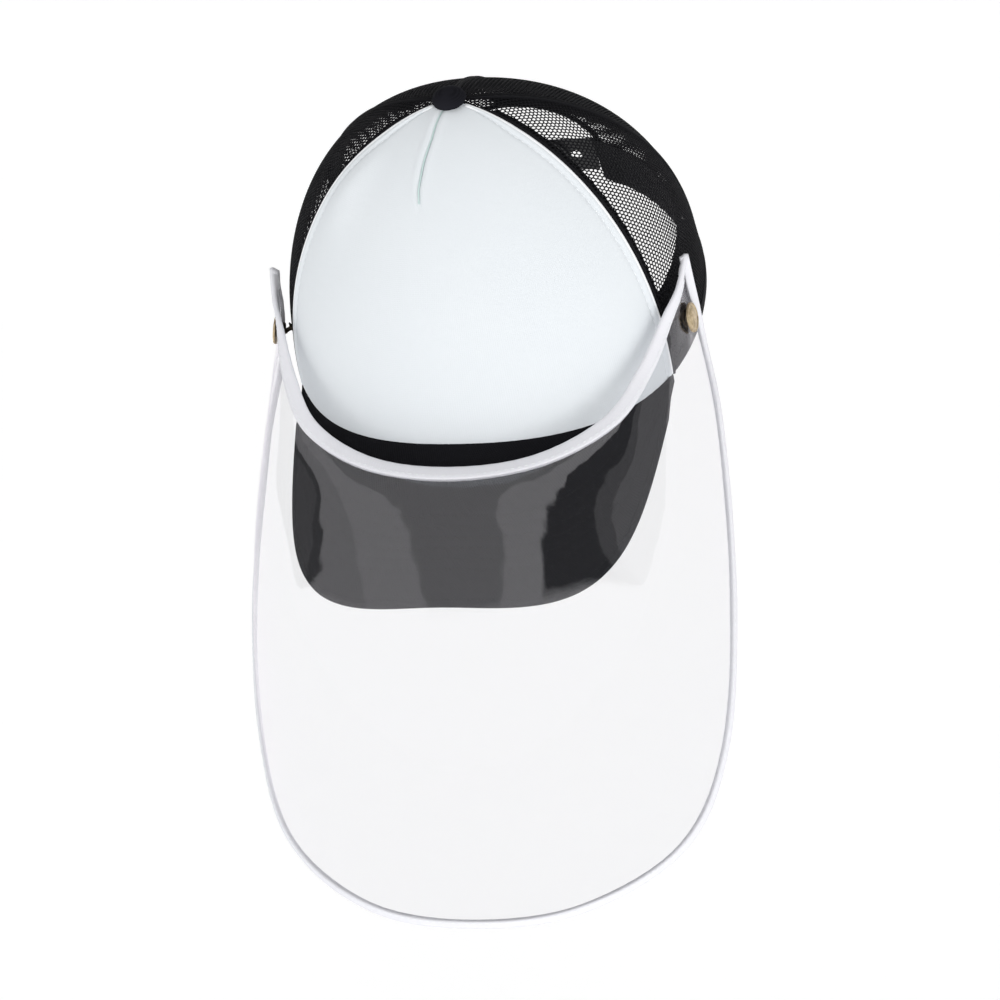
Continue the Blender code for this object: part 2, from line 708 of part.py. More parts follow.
def build_binding(name, edge, inward, normal, width, mitre, materials):
    """A folded tape around one edge of the film, mitred at both ends."""
    outer_half = BINDING_SLOT + BINDING_WALL
    floor = 0.0003
    shape = [(-width, outer_half), (BINDING_LIP, outer_half),
             (BINDING_LIP, -outer_half), (-width, -outer_half),
             (-width, -BINDING_SLOT), (floor, -BINDING_SLOT),
             (floor, BINDING_SLOT), (-width, BINDING_SLOT)]
    count = len(edge)
    along = np.gradient(edge, axis=0)
    room = 0.88 * np.linalg.norm(edge[1] - edge[0])
    sections = []
    for k in range(count):
        run = unit(along[k])
        out = edge[k] - inward[k]
        out = unit(out - run * np.dot(out, run))
        lift = unit(normal[k] - out * np.dot(normal[k], out) - run * np.dot(normal[k], run))
        ring = []
        for away, height in shape:
            base = edge[k] + out * away if away > 0.0 else inward[k]
            point = base + lift * height
            if k in (0, count - 1):
                towards = run if k == 0 else -run
                point = point + towards * min(4.6 * GAP - away / math.tan(mitre), room)
            ring.append(point)
        sections.append(ring)
    bar = swept_bar(name, sections, materials["binding"])
    bar.data.transform(Matrix.Translation((0.0, -SNAP_Y, -SNAP_Z)))
    bar.location = (0.0, SNAP_Y, SNAP_Z)
    return bar


def snap_places(grid, normal):
    """The centre of each stud's ball, on the line through both snaps, and the film's normal."""
    flat = grid.reshape(-1, 3)
    normals = normal.reshape(-1, 3)
    line = np.array((0.0, SNAP_Y, SNAP_Z))
    places = {}
    for side, sign in (("left", 1.0), ("right", -1.0)):
        away = np.hypot(flat[:, 1] - SNAP_Y, flat[:, 2] - SNAP_Z) + (flat[:, 0] * sign < 0.0)
        near = np.argsort(away)[:6]
        axis = unit(normals[near].mean(axis=0))
        centre = flat[near].mean(axis=0)
        lift = (np.dot(centre - line, axis) - SNAP_SEAT) / axis[0]
        places[side] = (line + (lift, 0.0, 0.0), axis)
    return places


def build_snaps(places, materials):
    brass = materials["brass"]
    half = 0.5 * FILM_THICKNESS
    cap = [(0.0, -0.0004), (0.0014, -0.0004), (0.0014, half + GAP), (0.0030, half + 0.0004),
           (0.0058, half + 0.0010), (SNAP_CAP_RADIUS, 0.0016), (0.0060, 0.0020),
           (0.0046, 0.0024), (0.0024, 0.0027), (0.0, 0.0028)]
    socket = [(0.0, -0.0010), (0.0020, -0.0010), (0.0022, -0.0019), (0.0029, -0.0019),
              (0.0034, -0.0015), (0.0033, -half - 0.0004), (0.0022, -half - GAP),
              (0.0, -half - GAP - 0.0001)]
    post = [(0.0, -0.0006), (0.0036, -0.0005), (0.0036, 0.0), (0.0013, 0.0002),
            (0.0013, 0.0022), (0.0, 0.0022)]
    for side, (ball, axis) in places.items():
        foot, normal = crown_side_under(ball)
        base = GAP - np.linalg.norm(ball - foot)
        stud = [(0.0, base), (0.0024, base), (0.0024, base + 0.0003), (0.0009, base + 0.0005),
                (0.0009, -0.0006), (0.0014, 0.0), (0.0011, 0.0005), (0.0, 0.0006)]
        turned(f"snap_cap_{side}", cap, ball + SNAP_SEAT * axis, axis, brass)
        turned(f"snap_socket_{side}", socket, ball + SNAP_SEAT * axis, axis, brass, 16)
        turned(f"snap_stud_{side}", stud, ball, normal, brass, 16)
        turned(f"snap_post_{side}", post, foot - 0.0027 * normal, normal, brass, 16)


def shield_places():
    fine = shield_grid(3 * SHIELD_COLUMNS, 3 * SHIELD_ROWS)
    return snap_places(fine, shield_normals(fine))


def build_shield(places, materials):
    grid = shield_grid(SHIELD_COLUMNS, SHIELD_ROWS)
    normal = shield_normals(grid)
    build_film(grid, normal, places, materials)
    top_run = unit(grid[0, -1] - grid[0, -2])
    low_run = unit(grid[-1, -1] - grid[-1, -2])
    mitre = 0.5 * math.acos(float(np.dot(top_run, low_run)))
    columns = range(SHIELD_COLUMNS + 1)
    top_in = np.array([point_along(grid[:, c], TOP_BINDING_WIDTH) for c in columns])
    low_in = np.array([point_along(grid[::-1, c], EDGE_BINDING_WIDTH) for c in columns])
    for inside, edge in ((top_in, grid[0]), (low_in, grid[-1])):
        inside[0] = edge[0] + inside[1] - edge[1]
        inside[-1] = edge[-1] + inside[-2] - edge[-2]
    build_binding("shield_top_binding", grid[0], top_in, normal[0], TOP_BINDING_WIDTH,
                  mitre, materials)
    build_binding("shield_edge_binding", grid[-1], low_in, normal[-1], EDGE_BINDING_WIDTH,
                  mitre, materials)
    build_snaps(places, materials)


def main():
    clear_scene()
    materials = make_materials()
    places = shield_places()
    build_front(materials)
    build_mesh_panels(places, materials)
    build_tapes(materials)
    build_button(materials)
    build_sweatband(materials)
    build_visor(materials)
    build_arch_binding(materials)
    build_straps(materials)
    build_shield(places, materials)


main()
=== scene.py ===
"""Looks for the foam-front mesh cap with its snap-on clear face shield."""
import math

import bpy
import numpy as np
from mathutils import Matrix, Vector


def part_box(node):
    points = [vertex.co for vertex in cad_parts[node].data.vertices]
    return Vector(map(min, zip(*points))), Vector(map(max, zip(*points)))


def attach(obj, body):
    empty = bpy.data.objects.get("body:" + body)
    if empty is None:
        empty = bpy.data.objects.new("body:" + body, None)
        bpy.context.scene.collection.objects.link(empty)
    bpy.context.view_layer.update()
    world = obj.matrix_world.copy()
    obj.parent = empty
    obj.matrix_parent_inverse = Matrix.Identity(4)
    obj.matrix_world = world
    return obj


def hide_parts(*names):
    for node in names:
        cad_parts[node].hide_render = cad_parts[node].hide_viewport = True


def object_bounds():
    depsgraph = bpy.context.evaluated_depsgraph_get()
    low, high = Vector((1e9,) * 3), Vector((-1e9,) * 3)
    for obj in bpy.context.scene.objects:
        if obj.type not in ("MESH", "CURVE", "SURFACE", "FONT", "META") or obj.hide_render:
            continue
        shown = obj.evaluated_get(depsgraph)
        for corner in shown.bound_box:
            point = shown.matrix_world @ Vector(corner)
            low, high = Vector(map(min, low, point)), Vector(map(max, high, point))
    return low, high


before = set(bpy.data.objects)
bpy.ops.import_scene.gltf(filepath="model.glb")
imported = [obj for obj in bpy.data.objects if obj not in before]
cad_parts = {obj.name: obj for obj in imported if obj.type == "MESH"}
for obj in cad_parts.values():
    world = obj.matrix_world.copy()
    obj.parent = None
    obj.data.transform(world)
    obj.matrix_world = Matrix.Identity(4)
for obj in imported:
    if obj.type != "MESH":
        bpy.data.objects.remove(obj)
CAD_BOX = [list(corner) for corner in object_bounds()]

# The crown, the visor and the shield, with the sizes that the CAD model has, in metres. The crown
# runs by an angle, from 0 ahead to pi behind, and by t, from 0 at the rim towards 1 at the top.
HALF_WIDTH, FRONT, BACK, HEIGHT = 0.0868, 0.094, 0.099, 0.115
PLAN_POWER, TAPER_POWER, RISE_POWER = 2.1, 1.145, 0.862
TOP_SHIFT, HOLLOW, TOP_T = -0.003, 0.0157, 0.955
FRONT_SEAM, REAR_SEAM = math.radians(65.0), math.radians(117.0)
BAND_END, BAND_HEIGHT, BAND_INSET, BAND_THICKNESS = math.radians(157.0), 0.032, 0.0050, 0.0014
VISOR_LENGTH, VISOR_PITCH, VISOR_ARCH = 0.0710, math.radians(14.0), 3.9
VISOR_PLAN_POWER, VISOR_BULGE = 2.96, -0.045
ARCH_HALF_WIDTH, ARCH_SIDE_HEIGHT, ARCH_HEIGHT, ARCH_BINDING = 0.0315, 0.016, 0.046, 0.0030
SNAP_Y, SNAP_Z = -0.0300, 0.0200
TOP_EDGE = ((0.0, -0.1095, 0.0135), (0.034, -0.1040, 0.0145), (0.060, -0.0870, 0.0184),
            (0.0725, -0.0650, 0.0252), (0.0802, -0.0440, 0.0330), (0.0848, -0.031, 0.0370),
            (0.0872, -0.0180, 0.0435))
OUTER_EDGE = ((0.0, -0.2245, -0.1302), (0.044, -0.2150, -0.1318), (0.082, -0.1850, -0.1285),
              (0.0982, -0.150, -0.109), (0.1022, -0.106, -0.069), (0.0972, -0.053, -0.024),
              (0.0900, -0.0245, 0.005), (0.0872, -0.0180, 0.0435))
EAR_PINCH = 0.0050          # how far the film bends inwards at the ears

# Sizes of what only the looks have, in metres.
FOAM_DEPTH, PAD_TOP = 0.0036, 0.93              # foam's inner face, and t where the pad ends
EDGE_LINE, STITCH_LINE = 0.0009, 0.0039         # the front's rolled edge and topstitch, from its seam
NET_CELL, NET_STRAND, NET_THICKNESS, NET_DEPTH = 0.00185, 0.00064, 0.00042, 0.0005
TAPE_WIDTH, TAPE_DEPTH, TAPE_LOW, TAPE_HIGH = 0.0090, 0.0017, 0.012, 0.84
VISOR_TOP, VISOR_UNDER, PIPING_MIDDLE = 0.0006, -0.0032, -0.0013
STITCH_ROWS = [0.0137 + 0.0048 * row for row in range(6)]   # in from the visor's edge
STITCH_SHARE = 0.72                             # of each stitch's pitch, how much thread shows
TOP_TAPE, OUTER_TAPE, FILM_THICKNESS = 0.0062, 0.0027, 0.00036
FILM_COLUMNS, FILM_ROWS = 216, 96
FLOOR_DROP, FLOOR_WIDTH = 0.55, 18.0            # the floor, below the cap
SUN_SPREAD = 50.0                               # degrees
SIDES = (("left", 1.0), ("right", -1.0))


# ---------------------------------------------------------------- surfaces

def signed_power(value, power):
    return np.sign(value) * np.abs(value) ** power


def plan(angle):
    """The rim's outline for half widths of 1: across and ahead."""
    power = 2.0 / PLAN_POWER
    return signed_power(np.sin(angle), power), signed_power(np.cos(angle), power)


CORNER_X = HALF_WIDTH * plan(FRONT_SEAM)[0]
CORNER_Y = -FRONT * plan(FRONT_SEAM)[1]


def visor_height(x, y):
    """The visor's middle surface: it slopes down ahead and arches across."""
    return math.tan(VISOR_PITCH) * (y - CORNER_Y) - VISOR_ARCH * (x * x - CORNER_X * CORNER_X)


def arc_lengths(points):
    """Distance along a row of points, from 0 at the first."""
    return np.concatenate([[0.0], np.cumsum(np.linalg.norm(np.diff(points, axis=0), axis=1))])


def crown_outer(angle, t):
    """Points on the crown's outer surface, for arrays of angle and of t from rim to top."""
    angle, t = np.broadcast_arrays(np.asarray(angle, float), np.asarray(t, float))
    across, ahead = plan(angle)
    turn = t * math.pi / 2.0
    width = np.cos(turn) ** TAPER_POWER
    rise = np.sin(turn) ** RISE_POWER
    depth = np.where(ahead > 0.0, FRONT, BACK)
    x = HALF_WIDTH * across * width
    y = -(depth * width - HOLLOW * np.sin(math.pi * t)) * ahead + TOP_SHIFT * (1.0 - width)
    rim = np.where(np.abs(angle) < FRONT_SEAM,
                   visor_height(HALF_WIDTH * across, -depth * ahead), 0.0)
    return np.stack([x, y, rim * (1.0 - rise) + HEIGHT * rise], axis=-1)


def unit(vectors):
    return vectors / np.maximum(np.linalg.norm(vectors, axis=-1, keepdims=True), 1e-15)


def crown_normal(angle, t):
    """Outward directions of the crown."""
    step = 1e-3
    low = np.maximum(np.asarray(t, float) - step, 1e-4)
    along = crown_outer(angle + step, t) - crown_outer(angle - step, t)
    up = crown_outer(angle, t + step) - crown_outer(angle, low)
    return unit(np.cross(along, up))


def crown(angle, t, inset=0.0):
    """Points at a depth under the crown's outer surface."""
    inset = np.asarray(inset, float)[..., None]
    return crown_outer(angle, t) - inset * crown_normal(angle, t)


def level_arc(t, start, end, steps=96):
    """Angles and arc lengths along one level of the crown, from start to end."""
    angles = np.linspace(start, end, steps)
    return angles, arc_lengths(crown_outer(angles, t))


def height_arc(angle):
    """t and arc lengths up one meridian of the crown."""
    levels = np.linspace(0.0, TOP_T, 160)
    return levels, arc_lengths(crown_outer(angle, levels))


def crown_t_at(height):
    """The level t at a height over the rim."""
    return 2.0 / math.pi * math.asin((max(height, 0.0) / HEIGHT) ** (1.0 / RISE_POWER))


def crown_back_y(x, z):
    """How far back the crown's surface is at x and z."""
    turn = crown_t_at(z) * math.pi / 2.0
    width = math.cos(turn) ** TAPER_POWER
    hollow = HOLLOW * math.sin(2.0 * turn)
    across = abs(x) / (HALF_WIDTH * width)
    behind = (1.0 - across ** PLAN_POWER) ** (1.0 / PLAN_POWER)
    return (BACK * width - hollow) * behind + TOP_SHIFT * (1.0 - width)


def visor_edge(u):
    """The visor's outline in plan, for u from -1 to 1."""
    power = 2.0 / VISOR_PLAN_POWER
    angle = u * math.pi / 2.0
    forward = np.maximum(np.cos(angle), 0.0) ** power
    front_y = -FRONT - VISOR_LENGTH * math.cos(VISOR_PITCH)
    x = CORNER_X * signed_power(np.sin(angle), power)
    x = x * (1.0 + VISOR_BULGE * np.sin(math.pi * forward))
    return np.stack([x, CORNER_Y + (front_y - CORNER_Y) * forward], axis=-1)


def visor_root(u):
    """Where the visor meets the crown in plan, for u from -1 to 1."""
    flat = np.ones(np.shape(u))
    return crown(u * FRONT_SEAM, 0.0005 * flat, -0.0004 * flat)[..., :2]


def at_lengths(stops, run, values):
    """Points or directions read at stops along a path whose own points lie at the lengths run."""
    return np.stack([np.interp(stops, run, column) for column in values.T], axis=-1)


def even_curve(points, count):
    """Evenly spaced points on a smooth curve through the points and their mirror images."""
    half = np.array(points)
    knots = np.concatenate([half[:0:-1] * (-1.0, 1.0, 1.0), half])
    knots = np.concatenate([[2.0 * knots[0] - knots[1]], knots, [2.0 * knots[-1] - knots[-2]]])
    fine = []
    for a, b, c, d in zip(knots, knots[1:], knots[2:], knots[3:]):
        for s in np.linspace(0.0, 1.0, 24, endpoint=False):
            fine.append(0.5 * (2.0 * b + (c - a) * s + (2.0 * a - 5.0 * b + 4.0 * c - d) * s * s
                               + (3.0 * b - a - 3.0 * c + d) * s ** 3))
    fine = np.array(fine + [knots[-2]])
    run = arc_lengths(fine)
    return at_lengths(np.linspace(0.0, run[-1], count), run, fine)


def shield_grid():
    """The film's middle surface: rows from its top edge to its outer edge."""
    top = even_curve(TOP_EDGE, FILM_COLUMNS + 1)
    low = even_curve(OUTER_EDGE, FILM_COLUMNS + 1)
    side = np.abs(np.linspace(-1.0, 1.0, FILM_COLUMNS + 1))
    reach = 0.76 - 0.26 * side * side * (3.0 - 2.0 * side)
    drop = -0.065 + 0.565 * side ** 2.2
    bend = top + (low - top) * np.stack([reach, reach, drop], axis=1)
    bend[:, 0] -= np.sign(top[:, 0]) * EAR_PINCH * side ** 6
    s = np.linspace(0.0, 1.0, FILM_ROWS + 1)[:, None, None]
    return (1 - s) ** 2 * top + 2 * s * (1 - s) * bend + s * s * low


def grid_normals(grid):
    return unit(np.cross(np.gradient(grid, axis=1), np.gradient(grid, axis=0)))


def shield_normals(grid):
    """Outward directions of the film, whose last columns are too narrow to tell them."""
    normal = grid_normals(grid)
    normal[:, 0], normal[:, -1] = normal[:, 1], normal[:, -2]
    if normal[0, grid.shape[1] // 2, 2] < 0.0:
        normal = -normal
    return normal


# ---------------------------------------------------------------- mesh building

def build(name, points, faces, materials, uv=None, slots=None, sharp=None):
    """A smooth mesh object, with its points in metres and one uv pair a point."""
    mesh = bpy.data.meshes.new(name)
    mesh.from_pydata(np.asarray(points).tolist(), [], faces)
    for material in materials:
        mesh.materials.append(MATERIALS[material])
    if slots is not None:
        mesh.polygons.foreach_set("material_index", np.asarray(slots, np.int32))
    if uv is not None:
        layer = mesh.uv_layers.new(name="metres")
        index = np.empty(len(mesh.loops), np.int32)
        mesh.loops.foreach_get("vertex_index", index)
        layer.data.foreach_set("uv", np.asarray(uv, np.float32)[index].ravel())
    mesh.shade_smooth()
    if sharp:
        mesh.set_sharp_from_angle(angle=math.radians(sharp))
    mesh.update()
    obj = bpy.data.objects.new(name, mesh)
    bpy.context.scene.collection.objects.link(obj)
    return obj


def grid_uv(grid):
    """Mean lengths along a grid's rows and columns, as one uv pair a point."""
    across = np.linalg.norm(np.diff(grid, axis=1), axis=2).mean(axis=0)
    down = np.linalg.norm(np.diff(grid, axis=0), axis=2).mean(axis=1)
    u = np.concatenate([[0.0], np.cumsum(across)])
    v = np.concatenate([[0.0], np.cumsum(down)])
    return np.stack(np.meshgrid(u, v), axis=-1).reshape(-1, 2)


def slab(name, outer, inner, materials, sharp=None):
    """A closed solid between two grids of points; its inner side has the last material."""
    rows, columns = outer.shape[:2]
    size = rows * columns
    corner = (np.arange(rows - 1)[:, None] * columns + np.arange(columns - 1)).ravel()
    quads = np.stack([corner, corner + 1, corner + columns + 1, corner + columns], axis=1)
    loop = list(range(columns))
    loop += [r * columns + columns - 1 for r in range(1, rows)]
    loop += [(rows - 1) * columns + c for c in range(columns - 2, -1, -1)]
    loop += [r * columns for r in range(rows - 2, 0, -1)]
    rim = [(a, size + a, size + b, b) for a, b in zip(loop, loop[1:] + loop[:1])]
    faces = quads.tolist() + (size + quads[:, ::-1]).tolist() + rim
    slots = [0] * len(quads) + [len(materials) - 1] * len(quads) + [0] * len(rim)
    middle = grid_normals(outer)[rows // 2, columns // 2]
    if np.dot(middle, (outer - inner)[rows // 2, columns // 2]) < 0.0:
        faces = [face[::-1] for face in faces]
    uv = grid_uv(outer)
    return build(name, np.concatenate([outer.reshape(-1, 3), inner.reshape(-1, 3)]), faces,
                 materials, np.concatenate([uv, uv]), slots, sharp)


def sweep(name, rings, material, sharp=None):
    """A skin through rings of points with the same number of points each, with its ends closed."""
    rings = np.asarray(rings)
    count, sides = rings.shape[:2]
    faces = []
    for i in range(count - 1):
        here, there = i * sides, (i + 1) * sides
        for j in range(sides):
            k = (j + 1) % sides
            faces.append((here + j, there + j, there + k, here + k))
    faces.append(tuple(range(sides)))
    faces.append(tuple(range(count * sides - 1, (count - 1) * sides - 1, -1)))
    run, around = arc_lengths(rings.mean(axis=1)), arc_lengths(rings[0])
    uv = np.stack(np.meshgrid(run, around, indexing="ij"), axis=-1).reshape(-1, 2)
    return build(name, rings.reshape(-1, 3), faces, [material], uv, None, sharp)


def turned(name, profile, centre, axis, material, segments=64):
    """A solid turned about an axis, from (radius, height) pairs that start and end on it."""
    turn = np.array(Vector((0.0, 0.0, 1.0)).rotation_difference(Vector(axis)).to_matrix())
    angle = np.linspace(0.0, 2.0 * math.pi, segments, endpoint=False)
    rings = []
    for radius, height in profile:
        ring = np.stack([radius * np.cos(angle), radius * np.sin(angle),
                         np.full(segments, height)], axis=1)
        rings.append(ring @ turn.T + np.asarray(centre))
    return sweep(name, rings, material, sharp=50.0)


def smooth_profile(points):
    """A rounder profile through the points, by cutting its corners; its ends stay near the axis."""
    points = np.array(points, float)
    for _ in range(2):
        cut = [points[0]]
        for a, b in zip(points, points[1:]):
            cut += [0.75 * a + 0.25 * b, 0.25 * a + 0.75 * b]
        points = np.array(cut + [points[-1]])
    points[0, 0] = points[-1, 0] = 0.00005
    return points


def frames_along(path, normals):
    """Unit directions along a path, across it, and away from the surface it lies on."""
    run = unit(np.gradient(path, axis=0))
    lift = unit(normals - run * np.sum(normals * run, axis=1, keepdims=True))
    return run, np.cross(run, lift), lift


def circles(path, radius, first, second, sides):
    """A circle of points round each point of a path, in the plane of two directions."""
    turn = (2.0 * math.pi * np.arange(sides) / sides)[:, None]
    return path[:, None] + radius * (first[:, None] * np.cos(turn) + second[:, None] * np.sin(turn))


def stitches(name, path, normals, material, pitch=0.0032, thread=0.00022):
    """Sewing thread along a path: one short bowed length to a stitch, its ends in the cloth."""
    run = arc_lengths(path)
    count = max(int(run[-1] / pitch), 1)
    shape = np.linspace(-0.5, 0.5, 5)
    radius = thread * np.array((0.6, 1.0, 1.0, 1.0, 0.6))[:, None, None]
    bow = thread * (1.1 * np.cos(math.pi * shape) - 0.7)
    skin = [(i + j, i + (j + 1) % 5, i + 5 + (j + 1) % 5, i + 5 + j)
            for i in range(0, 20, 5) for j in range(5)]
    skin += [(4, 3, 2, 1, 0), (20, 21, 22, 23, 24)]
    rings, faces = [], []
    for k in range(count):
        stops = (k + 0.5 + STITCH_SHARE * shape) * run[-1] / count
        centre = at_lengths(stops, run, path)
        _, across, lift = frames_along(centre, at_lengths(stops, run, normals))
        rings.append(circles(centre + lift * bow[:, None], radius, across, lift, 5))
        faces += [tuple(25 * k + corner for corner in face) for face in skin]
    return build(name, np.reshape(rings, (-1, 3)), faces, [material])


def cord_along(name, path, radius, material):
    run = unit(np.gradient(path, axis=0))
    side = unit(np.cross(run, (0.31, 0.17, 0.93)))
    return sweep(name, circles(path, radius, side, np.cross(run, side), 6), material)


def split_pairs(pairs):
    """The points and the directions of a list of pairs, as two arrays."""
    return (np.array(part) for part in zip(*pairs))


# ---------------------------------------------------------------- materials

class Nodes:
    """A node tree, with its nodes added a line each."""

    def __init__(self, tree):
        self.tree = tree

    def feed(self, socket, value):
        if isinstance(value, bpy.types.NodeSocket):
            self.tree.links.new(value, socket)
        else:
            socket.default_value = value

    def add(self, kind, values=(), out=0, **settings):
        node = self.tree.nodes.new("ShaderNode" + kind)
        for key, value in settings.items():
            setattr(node, key, value)
        for key, value in dict(values).items():
            self.feed(node.inputs[key], value)
        return node.outputs[out]

    def math(self, operation, first, second=0.5, third=0.5, clamp=False):
        return self.add("Math", {0: first, 1: second, 2: third}, operation=operation,
                        use_clamp=clamp)

    def ramp(self, factor, stops):
        node = self.tree.nodes.new("ShaderNodeValToRGB")
        self.feed(node.inputs[0], factor)
        while len(node.color_ramp.elements) < len(stops):
            node.color_ramp.elements.new(0.5)
        for element, (place, colour) in zip(node.color_ramp.elements, stops):
            element.position = place
            element.color = (*colour, 1.0)
        return node.outputs[0]


class Shader(Nodes):
    """A material made of nodes."""

    def __init__(self, name, colour, roughness, metallic=0.0, specular=0.5):
        self.material = bpy.data.materials.new(name)
        self.material.use_nodes = True
        super().__init__(self.material.node_tree)
        self.surface = self.tree.nodes["Principled BSDF"]
        self.put("Base Color", (*colour, 1.0))
        self.put("Roughness", roughness)
        self.put("Metallic", metallic)
        self.put("Specular IOR Level", specular)

    def put(self, socket, value):
        self.feed(self.surface.inputs[socket], value)

    def place(self, kind="UV", rotation=0.0):
        """Coordinates in metres: UV along the cloth, or Object in the row frame."""
        return self.add("Mapping", {"Vector": self.add("TexCoord", out=kind),
                                    "Rotation": (0.0, 0.0, rotation)})

    def mix(self, factor, first, second):
        return self.add("Mix", {0: factor, 6: first, 7: second}, out=2, data_type="RGBA")

    def waves(self, place, pitch, direction="X"):
        return self.add("TexWave", {"Vector": place, "Scale": 0.31416 / pitch}, out=1,
                        wave_type="BANDS", bands_direction=direction, wave_profile="SIN")

    def noise(self, place, size, detail=3.0, roughness=0.55):
        return self.add("TexNoise", {"Vector": place, "Scale": 1.0 / size, "Detail": detail,
                                     "Roughness": roughness})

    def bump(self, height, strength, depth):
        normal = self.add("Bump", {"Height": height, "Strength": strength, "Distance": depth})
        self.put("Normal", normal)


def woven(name, dark, light, pitch, depth, roughness=0.85, specular=0.2, slant=0.0, twill=False,
          blotch=0.12):
    """Cloth of crossing threads at a pitch in metres, or with twill's slanting ridges."""
    s = Shader(name, light, roughness, specular=specular)
    flat = s.place("UV", slant)
    if twill:
        ridge = s.waves(s.place("UV", slant + math.radians(38.0)), pitch)
        cross = s.waves(flat, 0.55 * pitch, "Y")
        height = s.math("MULTIPLY_ADD", ridge, 0.75, s.math("MULTIPLY", cross, 0.25))
    else:
        warp, weft = s.waves(flat, pitch), s.waves(flat, pitch, "Y")
        height = s.math("MAXIMUM", s.math("MULTIPLY", warp, 0.9), weft)
    solid = s.place("Object")
    fuzz = s.noise(solid, 0.0006, 2.0)
    height = s.math("MULTIPLY_ADD", fuzz, 0.5, height)
    cloud = s.noise(solid, 0.03, 4.0)
    tone = s.math("MULTIPLY_ADD", s.math("SUBTRACT", cloud, 0.5), 2.0 * blotch,
                  s.math("MULTIPLY", height, 0.75), clamp=True)
    s.put("Base Color", s.mix(tone, (*dark, 1.0), (*light, 1.0)))
    s.put("Roughness", s.math("MULTIPLY_ADD", fuzz, 0.16, roughness - 0.08))
    s.bump(height, 0.55, depth)
    return s.material


def face_cloth():
    """Brushed knit bonded to foam: nearly smooth, faintly blue, with a fine nap."""
    s = Shader("foam_face_cloth", (0.70, 0.735, 0.77), 0.88, specular=0.12)
    flat, solid = s.place("UV"), s.place("Object")
    wale = s.waves(flat, 0.00062)
    course = s.waves(flat, 0.0008, "Y")
    nap = s.noise(solid, 0.00045, 3.0)
    height = s.math("MULTIPLY_ADD", nap, 1.2, s.math("MULTIPLY", wale, course))
    cloud = s.noise(solid, 0.045, 3.0)
    colour = s.mix(cloud, (0.672, 0.703, 0.728, 1.0), (0.703, 0.730, 0.752, 1.0))
    s.put("Base Color", s.mix(s.math("MULTIPLY", nap, 0.35), colour, (0.63, 0.67, 0.70, 1.0)))
    s.put("Roughness", s.math("MULTIPLY_ADD", nap, 0.14, 0.80))
    s.put("Sheen Weight", 0.05)
    s.bump(height, 0.30, 0.00012)
    return s.material


def foam():
    """Open-cell foam with a tricot backing, as seen inside the front."""
    s = Shader("foam_back", (0.74, 0.76, 0.77), 0.95, specular=0.1)
    solid = s.place("Object")
    cells = s.add("TexVoronoi", {"Vector": solid, "Scale": 900.0}, out=0)
    coarse = s.noise(solid, 0.004, 4.0)
    colour = s.mix(coarse, (0.66, 0.68, 0.69, 1.0), (0.80, 0.81, 0.81, 1.0))
    s.put("Base Color", s.mix(cells, (0.45, 0.46, 0.47, 1.0), colour))
    s.put("Roughness", s.math("MULTIPLY_ADD", cells, 0.1, 0.88))
    s.bump(cells, 0.6, 0.0004)
    return s.material


def ribbed(name, dark, light, pitch, roughness=0.7, specular=0.3):
    """Grosgrain tape: round ribs across its length."""
    s = Shader(name, light, roughness, specular=specular)
    flat, solid = s.place("UV"), s.place("Object")
    ribs = s.waves(flat, pitch, "Y")
    fine = s.waves(flat, 0.00035)
    height = s.math("MULTIPLY_ADD", fine, 0.12, ribs)
    fuzz = s.noise(solid, 0.0007, 2.0)
    s.put("Base Color", s.mix(s.math("MULTIPLY_ADD", fuzz, 0.4, s.math("MULTIPLY", ribs, 0.6)),
                              (*dark, 1.0), (*light, 1.0)))
    s.put("Roughness", s.math("MULTIPLY_ADD", fuzz, 0.2, roughness - 0.1))
    s.bump(height, 0.7, 0.0003)
    return s.material


def brass():
    """Antique brass: dark in its hollows, rubbed bright, with fine turning marks."""
    s = Shader("antique_brass", (0.40, 0.29, 0.15), 0.36, metallic=1.0)
    solid = s.place("Object")
    patina = s.noise(solid, 0.0028, 5.0, 0.65)
    fine = s.noise(solid, 0.0005, 4.0)
    edge = s.add("NewGeometry", out="Pointiness")
    rubbed = s.math("MULTIPLY_ADD", s.math("SUBTRACT", edge, 0.5), 3.0, patina, clamp=True)
    colour = s.ramp(rubbed, [(0.25, (0.24, 0.18, 0.11)), (0.48, (0.52, 0.41, 0.26)),
                             (0.70, (0.76, 0.64, 0.44))])
    s.put("Base Color", colour)
    s.put("Roughness", s.math("MULTIPLY_ADD", fine, 0.35, 0.20))
    s.bump(s.math("ADD", fine, patina), 0.25, 0.0001)
    return s.material


def mottled(name, dark, light, cloud, grain, roughness, bump, metallic=0.0, specular=0.5):
    """A grained material that drifts between two colours; cloud and grain are sizes and details."""
    s = Shader(name, light, 0.5, metallic, specular)
    solid = s.place("Object")
    fine = s.noise(solid, *grain)
    s.put("Base Color", s.mix(s.noise(solid, *cloud), (*dark, 1.0), (*light, 1.0)))
    s.put("Roughness", s.math("MULTIPLY_ADD", fine, *roughness))
    s.bump(fine, *bump)
    return s.material


